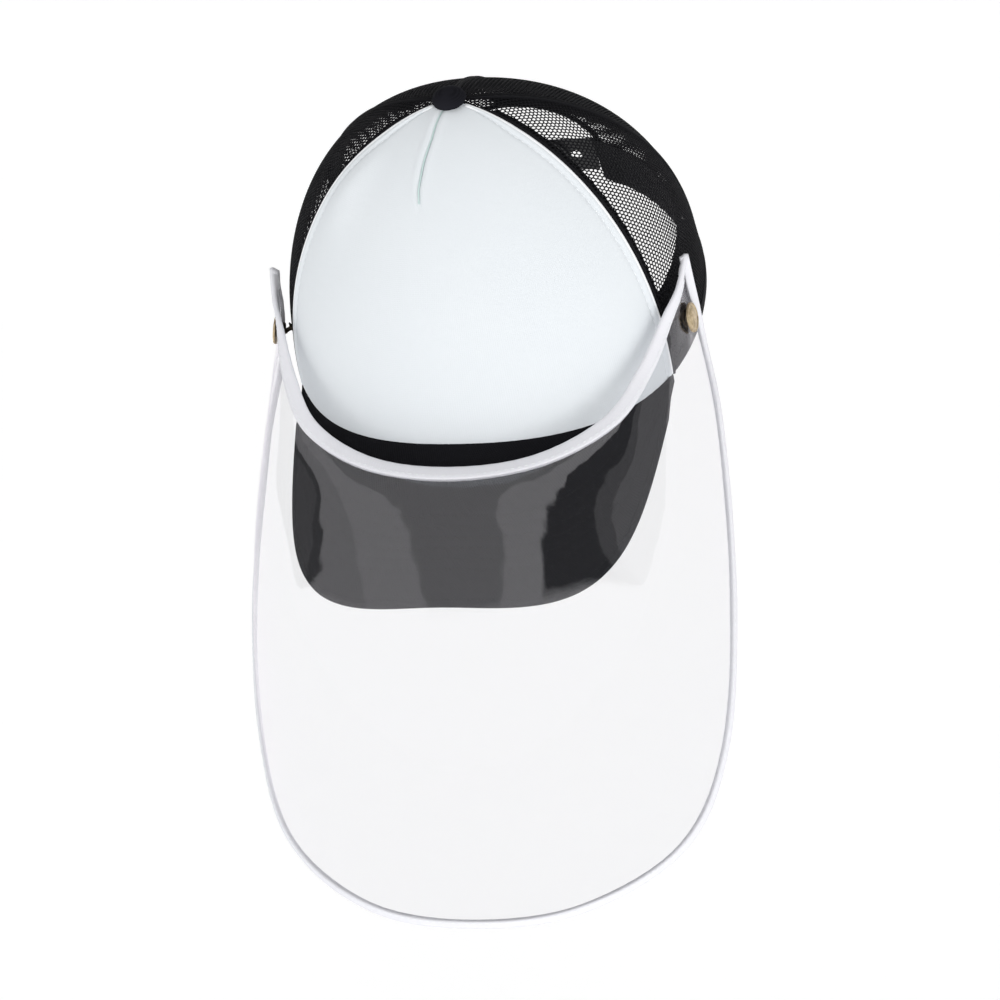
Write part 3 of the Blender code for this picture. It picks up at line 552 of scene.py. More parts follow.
def clear_film():
    """Thin clear film: a mirror that strengthens towards grazing, over plain see-through."""
    s = Shader("clear_film", (0.9, 0.9, 0.92), 0.03)
    solid = s.place("Object")
    swell = s.noise(solid, 0.030, 2.0, 0.5)
    ripple = s.noise(solid, 0.006, 2.0, 0.5)
    height = s.math("MULTIPLY_ADD", ripple, 0.06, swell)
    normal = s.add("Bump", {"Height": height, "Strength": 0.5, "Distance": 0.0008})
    facing = s.add("LayerWeight", {"Blend": 0.5, "Normal": normal}, out="Facing")
    grazing = s.math("POWER", facing, 5.0)
    fresnel = s.math("MULTIPLY_ADD", grazing, 0.60, 0.058)
    scuff = s.noise(solid, 0.012, 6.0, 0.7)
    gloss_rough = s.math("MULTIPLY_ADD", scuff, 0.03, 0.008)
    gloss = s.add("BsdfGlossy", {"Color": (0.985, 0.965, 1.0, 1.0), "Roughness": gloss_rough,
                                 "Normal": normal})
    clear = s.add("BsdfTransparent", {"Color": (0.952, 0.953, 0.957, 1.0)})
    haze = s.add("BsdfDiffuse", {"Color": (0.85, 0.87, 0.95, 1.0)})
    body = s.add("MixShader", {0: 0.006, 1: clear, 2: haze})
    film = s.add("MixShader", {0: fresnel, 1: body, 2: gloss})
    s.tree.nodes.remove(s.surface)
    s.feed(s.tree.nodes["Material Output"].inputs["Surface"], film)
    return s.material


def floor_paper():
    s = Shader("floor_paper", (0.95, 0.95, 0.95), 0.95, specular=0.0)
    grain = s.noise(s.place("Object"), 0.01, 3.0)
    s.put("Base Color", s.mix(grain, (0.950, 0.950, 0.950, 1.0), (0.960, 0.960, 0.960, 1.0)))
    s.put("Emission Color", (1.0, 1.0, 1.0, 1.0))
    s.put("Emission Strength", 0.20)
    return s.material


MATERIALS = {
    "face": face_cloth(),
    "foam": foam(),
    "net": mottled("net_yarn", (0.005, 0.005, 0.006), (0.012, 0.012, 0.014), (0.012, 3.0),
                   (0.00035, 2.0), (0.30, 0.52), (0.5, 0.0001), specular=0.06),
    "twill": woven("black_twill", (0.005, 0.005, 0.006), (0.010, 0.010, 0.012), 0.0009, 0.00016,
                   specular=0.04, twill=True),
    "button_cloth": woven("button_cloth", (0.006, 0.006, 0.008), (0.013, 0.013, 0.017), 0.0006,
                          0.00012, specular=0.05),
    "tape": ribbed("black_tape", (0.005, 0.005, 0.006), (0.013, 0.013, 0.015), 0.0017,
                   specular=0.08),
    "band": ribbed("band_cloth", (0.006, 0.006, 0.007), (0.016, 0.016, 0.019), 0.0008,
                   specular=0.08),
    "bias": woven("white_bias_tape", (0.69, 0.69, 0.74), (0.78, 0.78, 0.81), 0.0005, 0.00010,
                  roughness=0.8, specular=0.12, slant=0.7, blotch=0.05),
    # The front's rolled edge is the face cloth turned over at its seam: its shape is real, but its
    # whiter, brighter colour than the face is a painted highlight along the roll.
    "edge": woven("rolled_edge_painted_highlight", (0.80, 0.81, 0.83), (0.88, 0.89, 0.90), 0.0005, 0.00008,
                  roughness=0.85, specular=0.10, blotch=0.04),
    "white_thread": woven("white_thread", (0.78, 0.80, 0.82), (0.90, 0.92, 0.93), 0.0003,
                          0.00005, blotch=0.05),
    "dart_thread": woven("dart_thread", (0.50, 0.66, 0.63), (0.60, 0.74, 0.71), 0.0003,
                         0.00005, blotch=0.05),
    "black_thread": woven("black_thread", (0.007, 0.007, 0.008), (0.018, 0.018, 0.021), 0.0003,
                          0.00005, specular=0.10),
    "brass": brass(),
    "dark_metal": mottled("dark_metal", (0.030, 0.025, 0.020), (0.10, 0.08, 0.06), (0.0015, 4.0),
                          (0.0015, 4.0), (0.30, 0.35), (0.2, 0.0001), metallic=1.0),
    "plastic": mottled("strap_plastic", (0.012, 0.012, 0.014), (0.028, 0.028, 0.031), (0.02, 3.0),
                       (0.0006, 4.0), (0.30, 0.30), (0.25, 0.00015), specular=0.4),
    "board": mottled("visor_board", (0.07, 0.07, 0.08), (0.13, 0.13, 0.14), (0.001, 4.0),
                     (0.001, 4.0), (0.0, 0.6), (0.2, 0.0002)),
    "film": clear_film(),
    "floor": floor_paper(),
}


def keep(node, material):
    """A CAD node that stays gets its finish on its object's slots."""
    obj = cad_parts[node]
    for entry in obj.material_slots:
        entry.link = "OBJECT"
        entry.material = MATERIALS[material]


def place(piece, body, slot, *nodes):
    """Hangs a piece on the body that carries it and hides the CAD nodes that it replaces; the slot
    argument is not used.
    """
    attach(piece, body)
    if nodes:
        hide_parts(*nodes)
    return piece


# ---------------------------------------------------------------- foam front

DART = ((0.56, -0.175), (0.60, -0.202), (0.70, -0.215), (0.78, -0.203), (0.89, -0.258))


def dart_angle(t):
    """Where the short dart down from the button lies: a little to the wearer's right."""
    return np.interp(t, *zip(*DART))


def front_columns(t):
    """Angles across the front at level t: close together at the seams and at the dart."""
    limit = FRONT_SEAM - 0.0002 / HALF_WIDTH
    angles, run = level_arc(t, -limit, limit, 193)
    half = 0.5 * run[-1]
    run = run - half
    dart = np.interp(dart_angle(t), angles, run)
    shrink = min(1.0, half / 0.032)
    middle = shrink * np.array((0.25, 0.5, 0.8, 1.2, 1.8, 3.0)) * 1e-3
    edge = half - shrink * np.array((9.0, 6.5, 5.2, 4.5, 4.0, 3.6, 3.3, 3.0, 2.6, 2.0, 1.4, 0.9,
                                     0.5, 0.2, 0.0)) * 1e-3
    stops = np.concatenate([
        -edge[::-1], np.linspace(-edge[0], dart - middle[-1], 24)[1:-1], dart - middle[::-1],
        [dart], dart + middle, np.linspace(dart + middle[-1], edge[0], 24)[1:-1], edge])
    away = np.minimum((half - np.abs(stops)) / shrink, 1.0)
    return np.interp(stops, run, angles), away, stops - dart


def puffed():
    """How far pressure lifts the sewn foam, from a cloth simulation of a coarse closed pad."""
    columns, rows = 30, 26
    share = np.linspace(-1.0, 1.0, columns + 1)
    levels = np.linspace(0.0, PAD_TOP, rows + 1)
    angle, t = np.meshgrid(share * FRONT_SEAM, levels)
    outer, inner = crown(angle, t, 0.0005), crown(angle, t, 0.0039)
    pad = slab("pad_trial", outer, inner, ["face"])
    held = pad.vertex_groups.new(name="held")
    size = (rows + 1) * (columns + 1)
    for r in range(rows + 1):
        for c in range(columns + 1):
            if r in (0, rows) or c in (0, columns):
                held.add([r * (columns + 1) + c, size + r * (columns + 1) + c], 1.0, "REPLACE")
    cloth = pad.modifiers.new("cloth", "CLOTH")
    settings = cloth.settings
    settings.quality = 6
    settings.mass = 0.15
    settings.tension_stiffness = settings.compression_stiffness = 28.0
    settings.shear_stiffness = 12.0
    settings.bending_stiffness = 3.0
    settings.use_pressure = True
    settings.uniform_pressure_force = 3.0
    settings.vertex_group_mass = "held"
    settings.effector_weights.gravity = 0.0
    cloth.collision_settings.use_collision = False
    scene = bpy.context.scene
    cloth.point_cache.frame_start, cloth.point_cache.frame_end = 1, 20
    for number in range(1, 21):
        scene.frame_set(number)
    graph = bpy.context.evaluated_depsgraph_get()
    result = pad.evaluated_get(graph).to_mesh()
    points = np.empty(len(result.vertices) * 3)
    result.vertices.foreach_get("co", points)
    moved = points.reshape(-1, 3)[:size].reshape(rows + 1, columns + 1, 3)
    lift = np.sum((moved - outer) * crown_normal(angle, t), axis=2)
    scene.frame_set(1)
    bpy.data.objects.remove(pad, do_unlink=True)
    return np.clip(lift, -0.0006, 0.0012)


def sampled(field, share, level):
    """Smooth reading of a coarse field at share from -1 to 1 and level from 0 to 1."""
    rows, columns = field.shape
    x = (share + 1.0) / 2.0 * (columns - 1)
    y = level * (rows - 1)
    x0 = np.clip(np.floor(x).astype(int), 0, columns - 2)
    y0 = np.clip(np.floor(y).astype(int), 0, rows - 2)
    fx, fy = x - x0, y - y0
    fx, fy = fx * fx * (3 - 2 * fx), fy * fy * (3 - 2 * fy)
    return ((1 - fy) * ((1 - fx) * field[y0, x0] + fx * field[y0, x0 + 1])
            + fy * ((1 - fx) * field[y0 + 1, x0] + fx * field[y0 + 1, x0 + 1]))


def side_swell(angles, t):
    """The soft foam stands out a little at the wearer's right, half way up."""
    middle = np.exp(-((np.degrees(angles) + 52.0) / 10.0) ** 2)
    return 0.0026 * middle * math.exp(-((t - 0.56) / 0.13) ** 2)


def make_front():
    levels, run = height_arc(0.0)
    total = run[-1]
    stops = np.concatenate([np.array((0.0, 0.3, 0.7, 1.2, 1.9, 3.0)) * 1e-3,
                            np.linspace(0.005, total - 0.004, 66),
                            total - np.array((3.0, 2.0, 1.2, 0.6, 0.0)) * 1e-3])
    heights = np.interp(stops, run, levels)
    pad = puffed()
    outer, inner = [], []
    edges, seams = {side: [] for side, _ in SIDES}, {side: [] for side, _ in SIDES}
    for stop, t in zip(stops, heights):
        angles, away, across = front_columns(t)
        mm = away * 1000.0
        depth = 0.0011 * np.exp(-(mm / 0.6) ** 2)
        depth -= 0.00045 * np.exp(-((mm - 2.0) / 1.1) ** 2)
        depth += 0.00055 * np.exp(-((mm - 3.9) / 0.6) ** 2)
        depth += 0.0008 * math.exp(-(stop * 1000.0 / 0.7) ** 2)
        fade = min(1.0, max(0.0, (t - DART[0][0] + 0.03) / 0.12))
        depth += fade * 0.0008 * np.exp(-(across / 0.0007) ** 2)
        depth -= fade * 0.0004 * np.exp(-((np.abs(across) - 0.0022) / 0.0016) ** 2)
        share = np.clip(angles / FRONT_SEAM, -1.0, 1.0)
        depth -= sampled(pad, share, np.full(len(share), min(t / PAD_TOP, 1.0)))
        outer.append(crown(angles, t, depth - side_swell(angles, t)))
        inner.append(crown(angles, t, FOAM_DEPTH))
        for side, sign in SIDES:
            for line, distance in ((edges, EDGE_LINE), (seams, STITCH_LINE)):
                index = np.argmin(np.abs(away - distance) + (angles * sign < 0.0))
                line[side].append((outer[-1][index], crown_normal(angles[index], t)))
    front = slab("foam_front", np.array(outer), np.array(inner), ["face", "foam"])
    place(front, "cap", "face_cloth", "front_panel", "front_foam_lining")
    for side, _ in reversed(SIDES):
        path, normal = split_pairs(edges[side][1:-3])
        _, across, lift = frames_along(path, normal)
        rings = [path + across * x + lift * z
                 for x, z in ((-0.0011, -0.0008), (-0.0010, 0.0000), (-0.0005, 0.0003),
                              (0.0003, 0.0003), (0.0009, -0.0001), (0.0010, -0.0008))]
        # The roll takes the brighter edge colour, a painted highlight on the turned-over face cloth.
        rolled = sweep(f"front_edge_{side}", np.stack(rings, axis=1), "edge")
        place(rolled, "cap", "face_cloth")
        path, normal = split_pairs(seams[side][4:-8])
        line = stitches(f"front_topstitch_{side}", path, normal, "white_thread")
        place(line, "cap", "face_cloth")
    span = np.linspace(DART[0][0], PAD_TOP, 44)
    fade = np.linspace(0.0, 1.0, 44) ** 0.5
    path = crown(dart_angle(span), span, 0.0009 * fade - 0.0003)
    place(cord_along("front_dart_thread", path, 0.00026, "dart_thread"), "cap",
          "face_cloth")


# ---------------------------------------------------------------- net panels

def net_points(start, end):
    """A honeycomb's points on part of the crown, and its edges, clear of the rear opening."""
    edge = NET_CELL / math.sqrt(3.0)
    middle = 0.5 * (start + end)
    levels, run = height_arc(middle)
    rows = int(run[-1] / (1.5 * edge))
    places, ids = [], {}
    for j in range(rows + 1):
        for part in (0, 1):
            height = 1.5 * edge * j + 0.5 * edge * part
            if height > run[-1]:
                continue
            t = float(np.interp(height, run, levels))
            angles, arc = level_arc(t, start, end)
            centre = np.interp(middle, angles, arc)
            low, high = -centre / (0.5 * NET_CELL), (arc[-1] - centre) / (0.5 * NET_CELL)
            for k in range(math.ceil(low), math.floor(high) + 1):
                if (k + j) % 2 != part:
                    continue
                angle = np.interp(centre + 0.5 * NET_CELL * k, arc, angles)
                if arch_room(angle, t):
                    ids[(j, k)] = len(places)
                    places.append((angle, t))
    links = []
    for (j, k), here in ids.items():
        if (j, k + 1) in ids:
            links.append((here, ids[(j, k + 1)]))
        if (k + j) % 2 == 1 and (j + 1, k) in ids:
            links.append((here, ids[(j + 1, k)]))
    return np.array(places), np.array(links)


def net_mesh(name, start, end):
    """A knitted net: a flat-sided strand along each edge of a honeycomb."""
    places, links = net_points(start, end)
    centre = crown(places[:, 0], places[:, 1], NET_DEPTH)
    normal = crown_normal(places[:, 0], places[:, 1])
    a, b = centre[links[:, 0]], centre[links[:, 1]]
    along = unit(b - a)
    lift_a, lift_b = normal[links[:, 0]], normal[links[:, 1]]
    across = unit(np.cross(along, lift_a + lift_b))
    reach = 0.25 * NET_STRAND * along
    w, h = 0.5 * NET_STRAND, 0.5 * NET_THICKNESS
    corners = []
    for point, lift in ((a - reach, lift_a), (b + reach, lift_b)):
        for x, y in ((-w, 0.0), (-0.45 * w, h), (0.45 * w, h), (w, 0.0), (0.0, -h)):
            corners.append(point + x * across + y * lift)
    points = np.stack(corners, axis=1).reshape(-1, 3)
    base = (np.arange(len(links)) * 10)[:, None]
    faces = np.concatenate([base + np.array((j, j + 5, (j + 1) % 5 + 5, (j + 1) % 5))
                            for j in range(5)])
    return build(name, points, faces.tolist(), ["net"])


def selvedges(name, start, end):
    """The net's turned-in borders along its seams, as flat knitted tape."""
    for border, inward in ((start, 1.0), (end, -1.0)):
        span = np.linspace(0.0, TOP_T, 60)
        if abs(abs(border) - math.pi) < 1e-6:
            span = np.linspace(crown_t_at(ARCH_HEIGHT + ARCH_BINDING), TOP_T, 44)
        rings = []
        for t in span:
            angles, run = level_arc(t, start, end, 40)
            part = 0.0016 * min(1.0, run[-1] / 0.012)
            stops = (0.0001, part) if inward > 0 else (run[-1] - 0.0001, run[-1] - part)
            near, far = np.interp(stops, run, angles)
            rings.append([crown(angle, t, depth) for angle, depth in (
                (near, -0.0001), (0.5 * (near + far), -0.00035), (far, 0.0002), (far, 0.0008),
                (near, 0.0010))])
        place(sweep(f"{name}_{'ab'[inward < 0]}", rings, "tape"), "cap", "mesh")


def arch_room(angle, t):
    """True where the crown is clear of the rear opening and its binding."""
    x, _, z = crown_outer(angle, t)
    half, side, top = ARCH_HALF_WIDTH + 0.0022, ARCH_SIDE_HEIGHT, ARCH_HEIGHT + 0.0022
    if z < side:
        return abs(x) > half
    return (x / half) ** 2 + ((z - side) / (top - side)) ** 2 > 1.0


def make_nets():
    trim = 0.0004 / HALF_WIDTH
    for side, sign in SIDES:
        for label, first, last in (("side", FRONT_SEAM, REAR_SEAM), ("rear", REAR_SEAM, math.pi)):
            start, end = sorted((sign * first, sign * last))
            net = net_mesh(f"{label}_net_{side}", start + trim, end - trim)
            place(net, "cap", "mesh", f"{label}_mesh_{side}")
            selvedges(f"{label}_selvedge_{side}", start, end)
        make_rim(side, sign)


def make_rim(side, sign):
    """The bound lower edge of the net, from the visor's corner to the rear opening."""
    last = math.asin(min(1.0, ((ARCH_HALF_WIDTH + 0.003) / HALF_WIDTH) ** (PLAN_POWER / 2.0)))
    angles = sign * np.linspace(FRONT_SEAM + 0.004, math.pi - last, 90)
    rings = []
    for angle in angles:
        base, normal = crown_outer(angle, 0.0), crown_normal(angle, 0.0)
        up = unit(crown_outer(angle, 0.045) - base)
        rings.append([base + height * up - depth * normal for height, depth in (
            (0.0002, 0.0003), (0.0002, 0.0011), (0.0016, 0.0014), (0.0050, 0.0013),
            (0.0052, 0.0008), (0.0052, 0.0001), (0.0050, -0.0001), (0.0016, -0.0001),
            (0.0006, 0.0))])
    place(sweep(f"rim_binding_{side}", rings, "tape"), "cap", "black_cloth")


# ---------------------------------------------------------------- tapes, band and button

def make_tape(name, angle, low, node):
    """A grosgrain tape over a seam inside the crown, with two rows of stitches."""
    levels = np.linspace(low, TAPE_HIGH, 72)
    shape = [(-0.5, 0.0), (-0.25, -0.00012), (0.0, -0.00006), (0.25, -0.00012), (0.5, 0.0),
             (0.5, 0.0006), (0.0, 0.0006), (-0.5, 0.0006)]
    rings, rows = [], {-1: [], 1: []}
    for t in levels:
        centre, normal = crown_outer(angle, t), crown_normal(angle, t)
        beside = crown_outer(angle + 0.004, t) - crown_outer(angle - 0.004, t)
        flat = unit(beside - normal * np.dot(beside, normal))
        rings.append([centre + flat * TAPE_WIDTH * x - normal * (TAPE_DEPTH + y) for x, y in shape])
        for side in (-1, 1):
            rows[side].append((centre + side * flat * 0.0032 - normal * 0.0016, normal))
    tape = sweep(name, np.array(rings), "tape")
    place(tape, "cap", "black_cloth", node)
    for side in (-1, 1):
        path, normal = split_pairs(rows[side])
        line = stitches(f"{name}_stitch_{'ab'[side > 0]}", path, normal,
                        "black_thread", pitch=0.003, thread=0.0002)
        place(line, "cap", "black_cloth")


def make_tapes():
    for side, sign in SIDES:
        for label, seam in (("front", FRONT_SEAM), ("rear", REAR_SEAM)):
            make_tape(f"{label}_tape_{side}", sign * seam, TAPE_LOW, f"seam_tape_{label}_{side}")
    over = crown_t_at(ARCH_HEIGHT + ARCH_BINDING + 0.002)
    make_tape("back_tape", math.pi - 1e-4, over, "seam_tape_back")


def make_band():
    """The sweatband: cloth pleated by the elastic inside it, so it stands in upright ribs."""
    columns = 900
    angles = np.linspace(-BAND_END, BAND_END, columns + 1)
    arc = arc_lengths(crown_outer(angles, 0.05))
    ribs = np.abs(np.sin(math.pi * arc / 0.0029))
    fade = np.clip((np.abs(angles) - 0.75) / 0.25, 0.0, 1.0)
    rim = crown_outer(angles, 0.0)[:, 2]
    layers = []
    for face in (0, 1):
        rows = []
        for rise in np.array((0.0, 0.04, 0.10, 0.25, 0.5, 0.75, 0.90, 0.96, 1.0)):
            height = 0.0010 + (BAND_HEIGHT - 0.0012) * rise
            share = height / (HEIGHT - rim)
            t = 2.0 / math.pi * np.arcsin(share ** (1.0 / RISE_POWER))
            round_off = 0.0005 * (abs(2.0 * rise - 1.0) ** 8)
            flare = 0.0034 * (1.0 - min(rise / 0.12, 1.0)) ** 2
            ridge = fade * 0.00045 * (ribs - 0.4) * (1.0 - abs(2.0 * rise - 1.0) ** 6)
            if face == 0:
                rows.append(crown(angles, t, BAND_INSET + round_off - ridge - flare))
            else:
                rows.append(crown(angles, t, BAND_INSET + BAND_THICKNESS - round_off + ridge))
        layers.append(np.array(rows))
    band = slab("padded_sweatband", layers[0], layers[1], ["band"])
    place(band, "cap", "black_cloth", "sweatband")


def make_button():
    centre = np.array((0.0, TOP_SHIFT, HEIGHT))
    segments = 96
    angle = np.linspace(0.0, 2.0 * math.pi, segments, endpoint=False)
    profile = [(0.0002, -0.0040), (0.0017, -0.0040), (0.0018, 0.0004), (0.0052, 0.0002),
               (0.0066, 0.0003), (0.0070, 0.0009), (0.0070, 0.0017), (0.0065, 0.0028),
               (0.0055, 0.0037), (0.0040, 0.0044), (0.0022, 0.00485), (0.0002, 0.0050)]
    rings = []
    for radius, height in profile:
        tuck = 1.0 - 0.022 * np.abs(np.cos(5.0 * angle)) ** 6 * (0.0 < height < 0.003)
        rings.append(np.stack([radius * tuck * np.cos(angle), radius * tuck * np.sin(angle),
                               np.full(segments, height)], axis=1) + centre)
    button = sweep("covered_button", rings, "button_cloth", sharp=60.0)
    place(button, "cap", "black_cloth", "top_button")


# ---------------------------------------------------------------- visor

def visor_stations(count):
    """Places along the visor's edge for its u, closer together towards its corners."""
    return 0.985 * np.sin(0.5 * math.pi * np.linspace(-1.0, 1.0, count + 1))


def visor_dip(distance):
    """How far the cloth is drawn down by the rows of stitches, at a distance from the edge."""
    dip = np.zeros(np.shape(distance))
    for row in STITCH_ROWS:
        dip += 0.00028 * np.exp(-((distance - row) / 0.0006) ** 2)
    return dip


def make_visor():
    u = visor_stations(140)
    root, edge = visor_root(u), visor_edge(u)
    root = root - 0.0009 * unit(edge - root)
    length = np.linalg.norm(edge - root, axis=1)
    top, low = [], []
    for share in np.linspace(0.0, 1.0, 97):
        xy = root + (edge - root) * share
        z = visor_height(xy[:, 0], xy[:, 1])
        dip = visor_dip(length * (1.0 - share))
        near = 0.0005 * np.exp(-((length * (1.0 - share)) / 0.0010) ** 2)
        lip = 0.0009 * np.exp(-(length * share / 0.0012) ** 2)
        top.append(np.column_stack([xy, z + VISOR_TOP + lip - dip - near]))
        low.append(np.column_stack([xy, z + VISOR_UNDER + dip + near]))
    visor = slab("visor_cloth", np.array(top), np.array(low), ["twill"])
    place(visor, "cap", "black_cloth", "visor_top_cloth", "visor_under_cloth")
    for number, row in enumerate(STITCH_ROWS):
        use = length > row + 0.004
        share = 1.0 - row / length[use]
        xy = root[use] + (edge[use] - root[use]) * share[:, None]
        for label, surface, up in (("top", VISOR_TOP, 1.0), ("under", VISOR_UNDER, -1.0)):
            z = visor_height(xy[:, 0], xy[:, 1]) + surface - 0.0002 * up
            path = np.column_stack([xy, z])
            line = stitches(f"visor_stitch_{label}_{number}", path,
                            np.tile((0.0, 0.0, up), (len(path), 1)), "black_thread",
                            pitch=0.0034, thread=0.0002)
            place(line, "cap", "black_cloth")
    make_piping()


def make_piping():
    """The round piping along the visor's edge, thinner at its corners."""
    fine = visor_stations(240)
    here = visor_edge(fine)
    along = unit(visor_edge(np.minimum(fine + 0.004, 1.0))
                 - visor_edge(np.maximum(fine - 0.004, -1.0)))
    outward = np.stack([along[:, 1], -along[:, 0]], axis=1)
    taper = 1.0 - 0.75 * np.clip((np.abs(fine) - 0.955) / 0.03, 0.0, 1.0)
    rings = []
    for (x, y), out, small in zip(here, outward, taper):
        z = visor_height(x, y) + PIPING_MIDDLE
        ring = []
        for away, height in ((0.0001, 0.0019), (0.0009, 0.0017), (0.0015, 0.0009), (0.0017, 0.0),
                             (0.0015, -0.0009), (0.0009, -0.0017), (0.0001, -0.0019),
                             (-0.0006, -0.0014), (-0.0006, 0.0014)):
            reach = away * small
            ring.append((x + out[0] * reach, y + out[1] * reach, z + height * (0.6 + 0.4 * small)))
        rings.append(ring)
    piping = sweep("visor_piping", rings, "twill")
    place(piping, "cap", "black_cloth", "visor_edge_piping")


# ---------------------------------------------------------------- rear opening

def make_arch():
    """The folded tape round the rear opening, and its row of stitches."""
    middle = 0.5 * ARCH_BINDING
    feet = np.linspace(0.0006, ARCH_SIDE_HEIGHT, 14)[:-1]
    stations = [((1.0, 0.0), (ARCH_HALF_WIDTH, z)) for z in feet]
    for turn in np.linspace(0.0, math.pi, 90):
        across, up = math.cos(turn), math.sin(turn)
        stations.append(((across, up), (
            ARCH_HALF_WIDTH * across, ARCH_SIDE_HEIGHT + (ARCH_HEIGHT - ARCH_SIDE_HEIGHT) * up)))
    stations += [((-1.0, 0.0), (-ARCH_HALF_WIDTH, z)) for z in feet[::-1]]
    rings, path = [], []
    for out, base in np.array(stations):
        ring = []
        for away, depth in ((0.0002, 0.0), (0.0004, 0.0007), (middle, 0.0009), (0.0027, 0.0007),
                            (0.0030, 0.0), (0.0030, -0.0006), (0.0027, -0.0011), (middle, -0.0013),
                            (0.0004, -0.0011)):
            x, height = base + out * away
            ring.append((x, crown_back_y(x, height) - 0.0002 + depth, height))
        rings.append(ring)
        x, height = base + out * 0.0021
        path.append((x, crown_back_y(x, height) + 0.0006, height))
    binding = sweep("opening_tape", rings, "twill")
    place(binding, "cap", "black_cloth", "arch_binding")
    line = stitches("opening_stitch", np.array(path), np.tile((0.0, 1.0, 0.0), (len(path), 1)),
                    "black_thread", pitch=0.003, thread=0.0002)
    place(line, "cap", "black_cloth")


# ---------------------------------------------------------------- shield

def make_film(grid, normal):
    """The film, a little wavy as thin sheet is, and tucked into the tape at its edges."""
    rows, columns = grid.shape[:2]
    across = np.linspace(-1.0, 1.0, columns)[None, :]
    down = np.linspace(0.0, 1.0, rows)[:, None]
    inside = (np.clip(6.0 * down * (1.0 - down), 0.0, 1.0)
              * np.clip(6.0 * (1.0 - np.abs(across)), 0.0, 1.0))
    wave = (0.00022 * np.sin(9.0 * across + 2.1 * down + 0.7)
            + 0.00012 * np.sin(17.0 * across - 5.0 * down)
            + 0.00010 * np.sin(23.0 * down + 3.0 * across))
    crease = 0.00034 * np.exp(-((down - 0.885 - 0.012 * across ** 2) / 0.008) ** 2)
    crease = crease * np.clip(2.2 - 4.5 * np.abs(across), 0.0, 1.0)
    sheet = grid + (inside * (wave + crease))[..., None] * normal
    for end, beside in ((0, 1), (-1, -2)):
        sheet[:, end] = 0.3 * grid[:, end] + 0.7 * grid[:, beside]
    half = 0.5 * FILM_THICKNESS
    film = slab("shield_sheet", sheet + half * normal, sheet - half * normal,
                ["film"], sharp=60.0)
    place(film, "shield", "film", "shield_film")


def binding_frames(edge, inside, normal):
    """Unit directions out past an edge of the film, and away from the film."""
    run = unit(np.gradient(edge, axis=0))
    out = unit(edge - inside)
    out = unit(out - run * np.sum(out * run, axis=1, keepdims=True))
    lift = unit(normal - out * np.sum(normal * out, axis=1, keepdims=True)
                - run * np.sum(normal * run, axis=1, keepdims=True))
    return out, lift


def make_binding(name, edge, inside, normal, width, slim, node):
    """A folded bias tape round one edge, its fold swelling a little between the stitches."""
    out, lift = binding_frames(edge, inside, normal)
    length = arc_lengths(edge)
    side = ((-1.0, 0.00040), (-0.97, 0.00095), (-0.73, 0.00092), (-0.55, 0.00102),
            (-0.18, 0.00112))
    fold = [(0.0002, 0.00108), (0.0009, 0.00075), (0.0012, 0.0), (0.0009, -0.00075),
            (0.0002, -0.00108)]
    shape = [(width * away, height) for away, height in side] + fold
    shape += [(width * away, -height) for away, height in reversed(side)]
    narrow = 1.0 - slim * np.abs(np.linspace(-1.0, 1.0, len(edge))) ** 1.3
    rings = []
    for k in range(len(edge)):
        swell = 1.0 + 0.05 * math.sin(length[k] / 0.0011) + 0.06 * math.sin(length[k] / 0.0071)
        wander = 0.00012 * math.sin(length[k] / 0.013)
        ring = []
        for away, height in shape:
            reach = away * narrow[k] if away < 0.0 else away
            shift = wander if away < -0.7 * width else 0.0
            ring.append(edge[k] + out[k] * (reach + shift) + lift[k] * height * swell)
        rings.append(ring)
    tape = sweep(name, rings, "bias")
    place(tape, "shield", "binding", node)
    for label, sign in (("out", 1.0), ("in", -1.0)):
        path = edge - out * (0.73 * width * narrow)[:, None] + sign * lift * 0.00092
        line = stitches(f"{name}_stitch_{label}", path[3:-3], (sign * lift)[3:-3],
                        "white_thread", pitch=0.0028, thread=0.00018)
        place(line, "shield", "binding")


def inward_points(grid, distance):
    """For each column, the point a distance in from its first row, along the film."""
    result = np.empty((grid.shape[1], 3))
    for c in range(grid.shape[1]):
        line = grid[:, c]
        run = arc_lengths(line)
        if run[-1] < 3.0 * distance:
            result[c] = line[0] + distance * unit(line[1] - line[0])
        else:
            result[c] = at_lengths(distance, run, line)
    return result


def smoothed_ends(values, count=5):
    """Holds the last few directions at the ears, where the film narrows to nothing."""
    values = values.copy()
    values[:count] = values[count]
    values[-count:] = values[-count - 1]
    return values


def make_shield():
    grid = shield_grid()
    normal = shield_normals(grid)
    make_film(grid, normal)
    top_in = grid[0] + smoothed_ends(inward_points(grid, TOP_TAPE) - grid[0])
    low_in = grid[-1] + smoothed_ends(inward_points(grid[::-1], OUTER_TAPE) - grid[-1])
    make_binding("shield_top_tape", grid[0], top_in, smoothed_ends(normal[0]), TOP_TAPE,
                 0.42, "shield_top_binding")
    make_binding("shield_outer_tape", grid[-1], low_in, smoothed_ends(normal[-1]), OUTER_TAPE,
                 0.0, "shield_edge_binding")
    make_snap_caps(grid, normal)


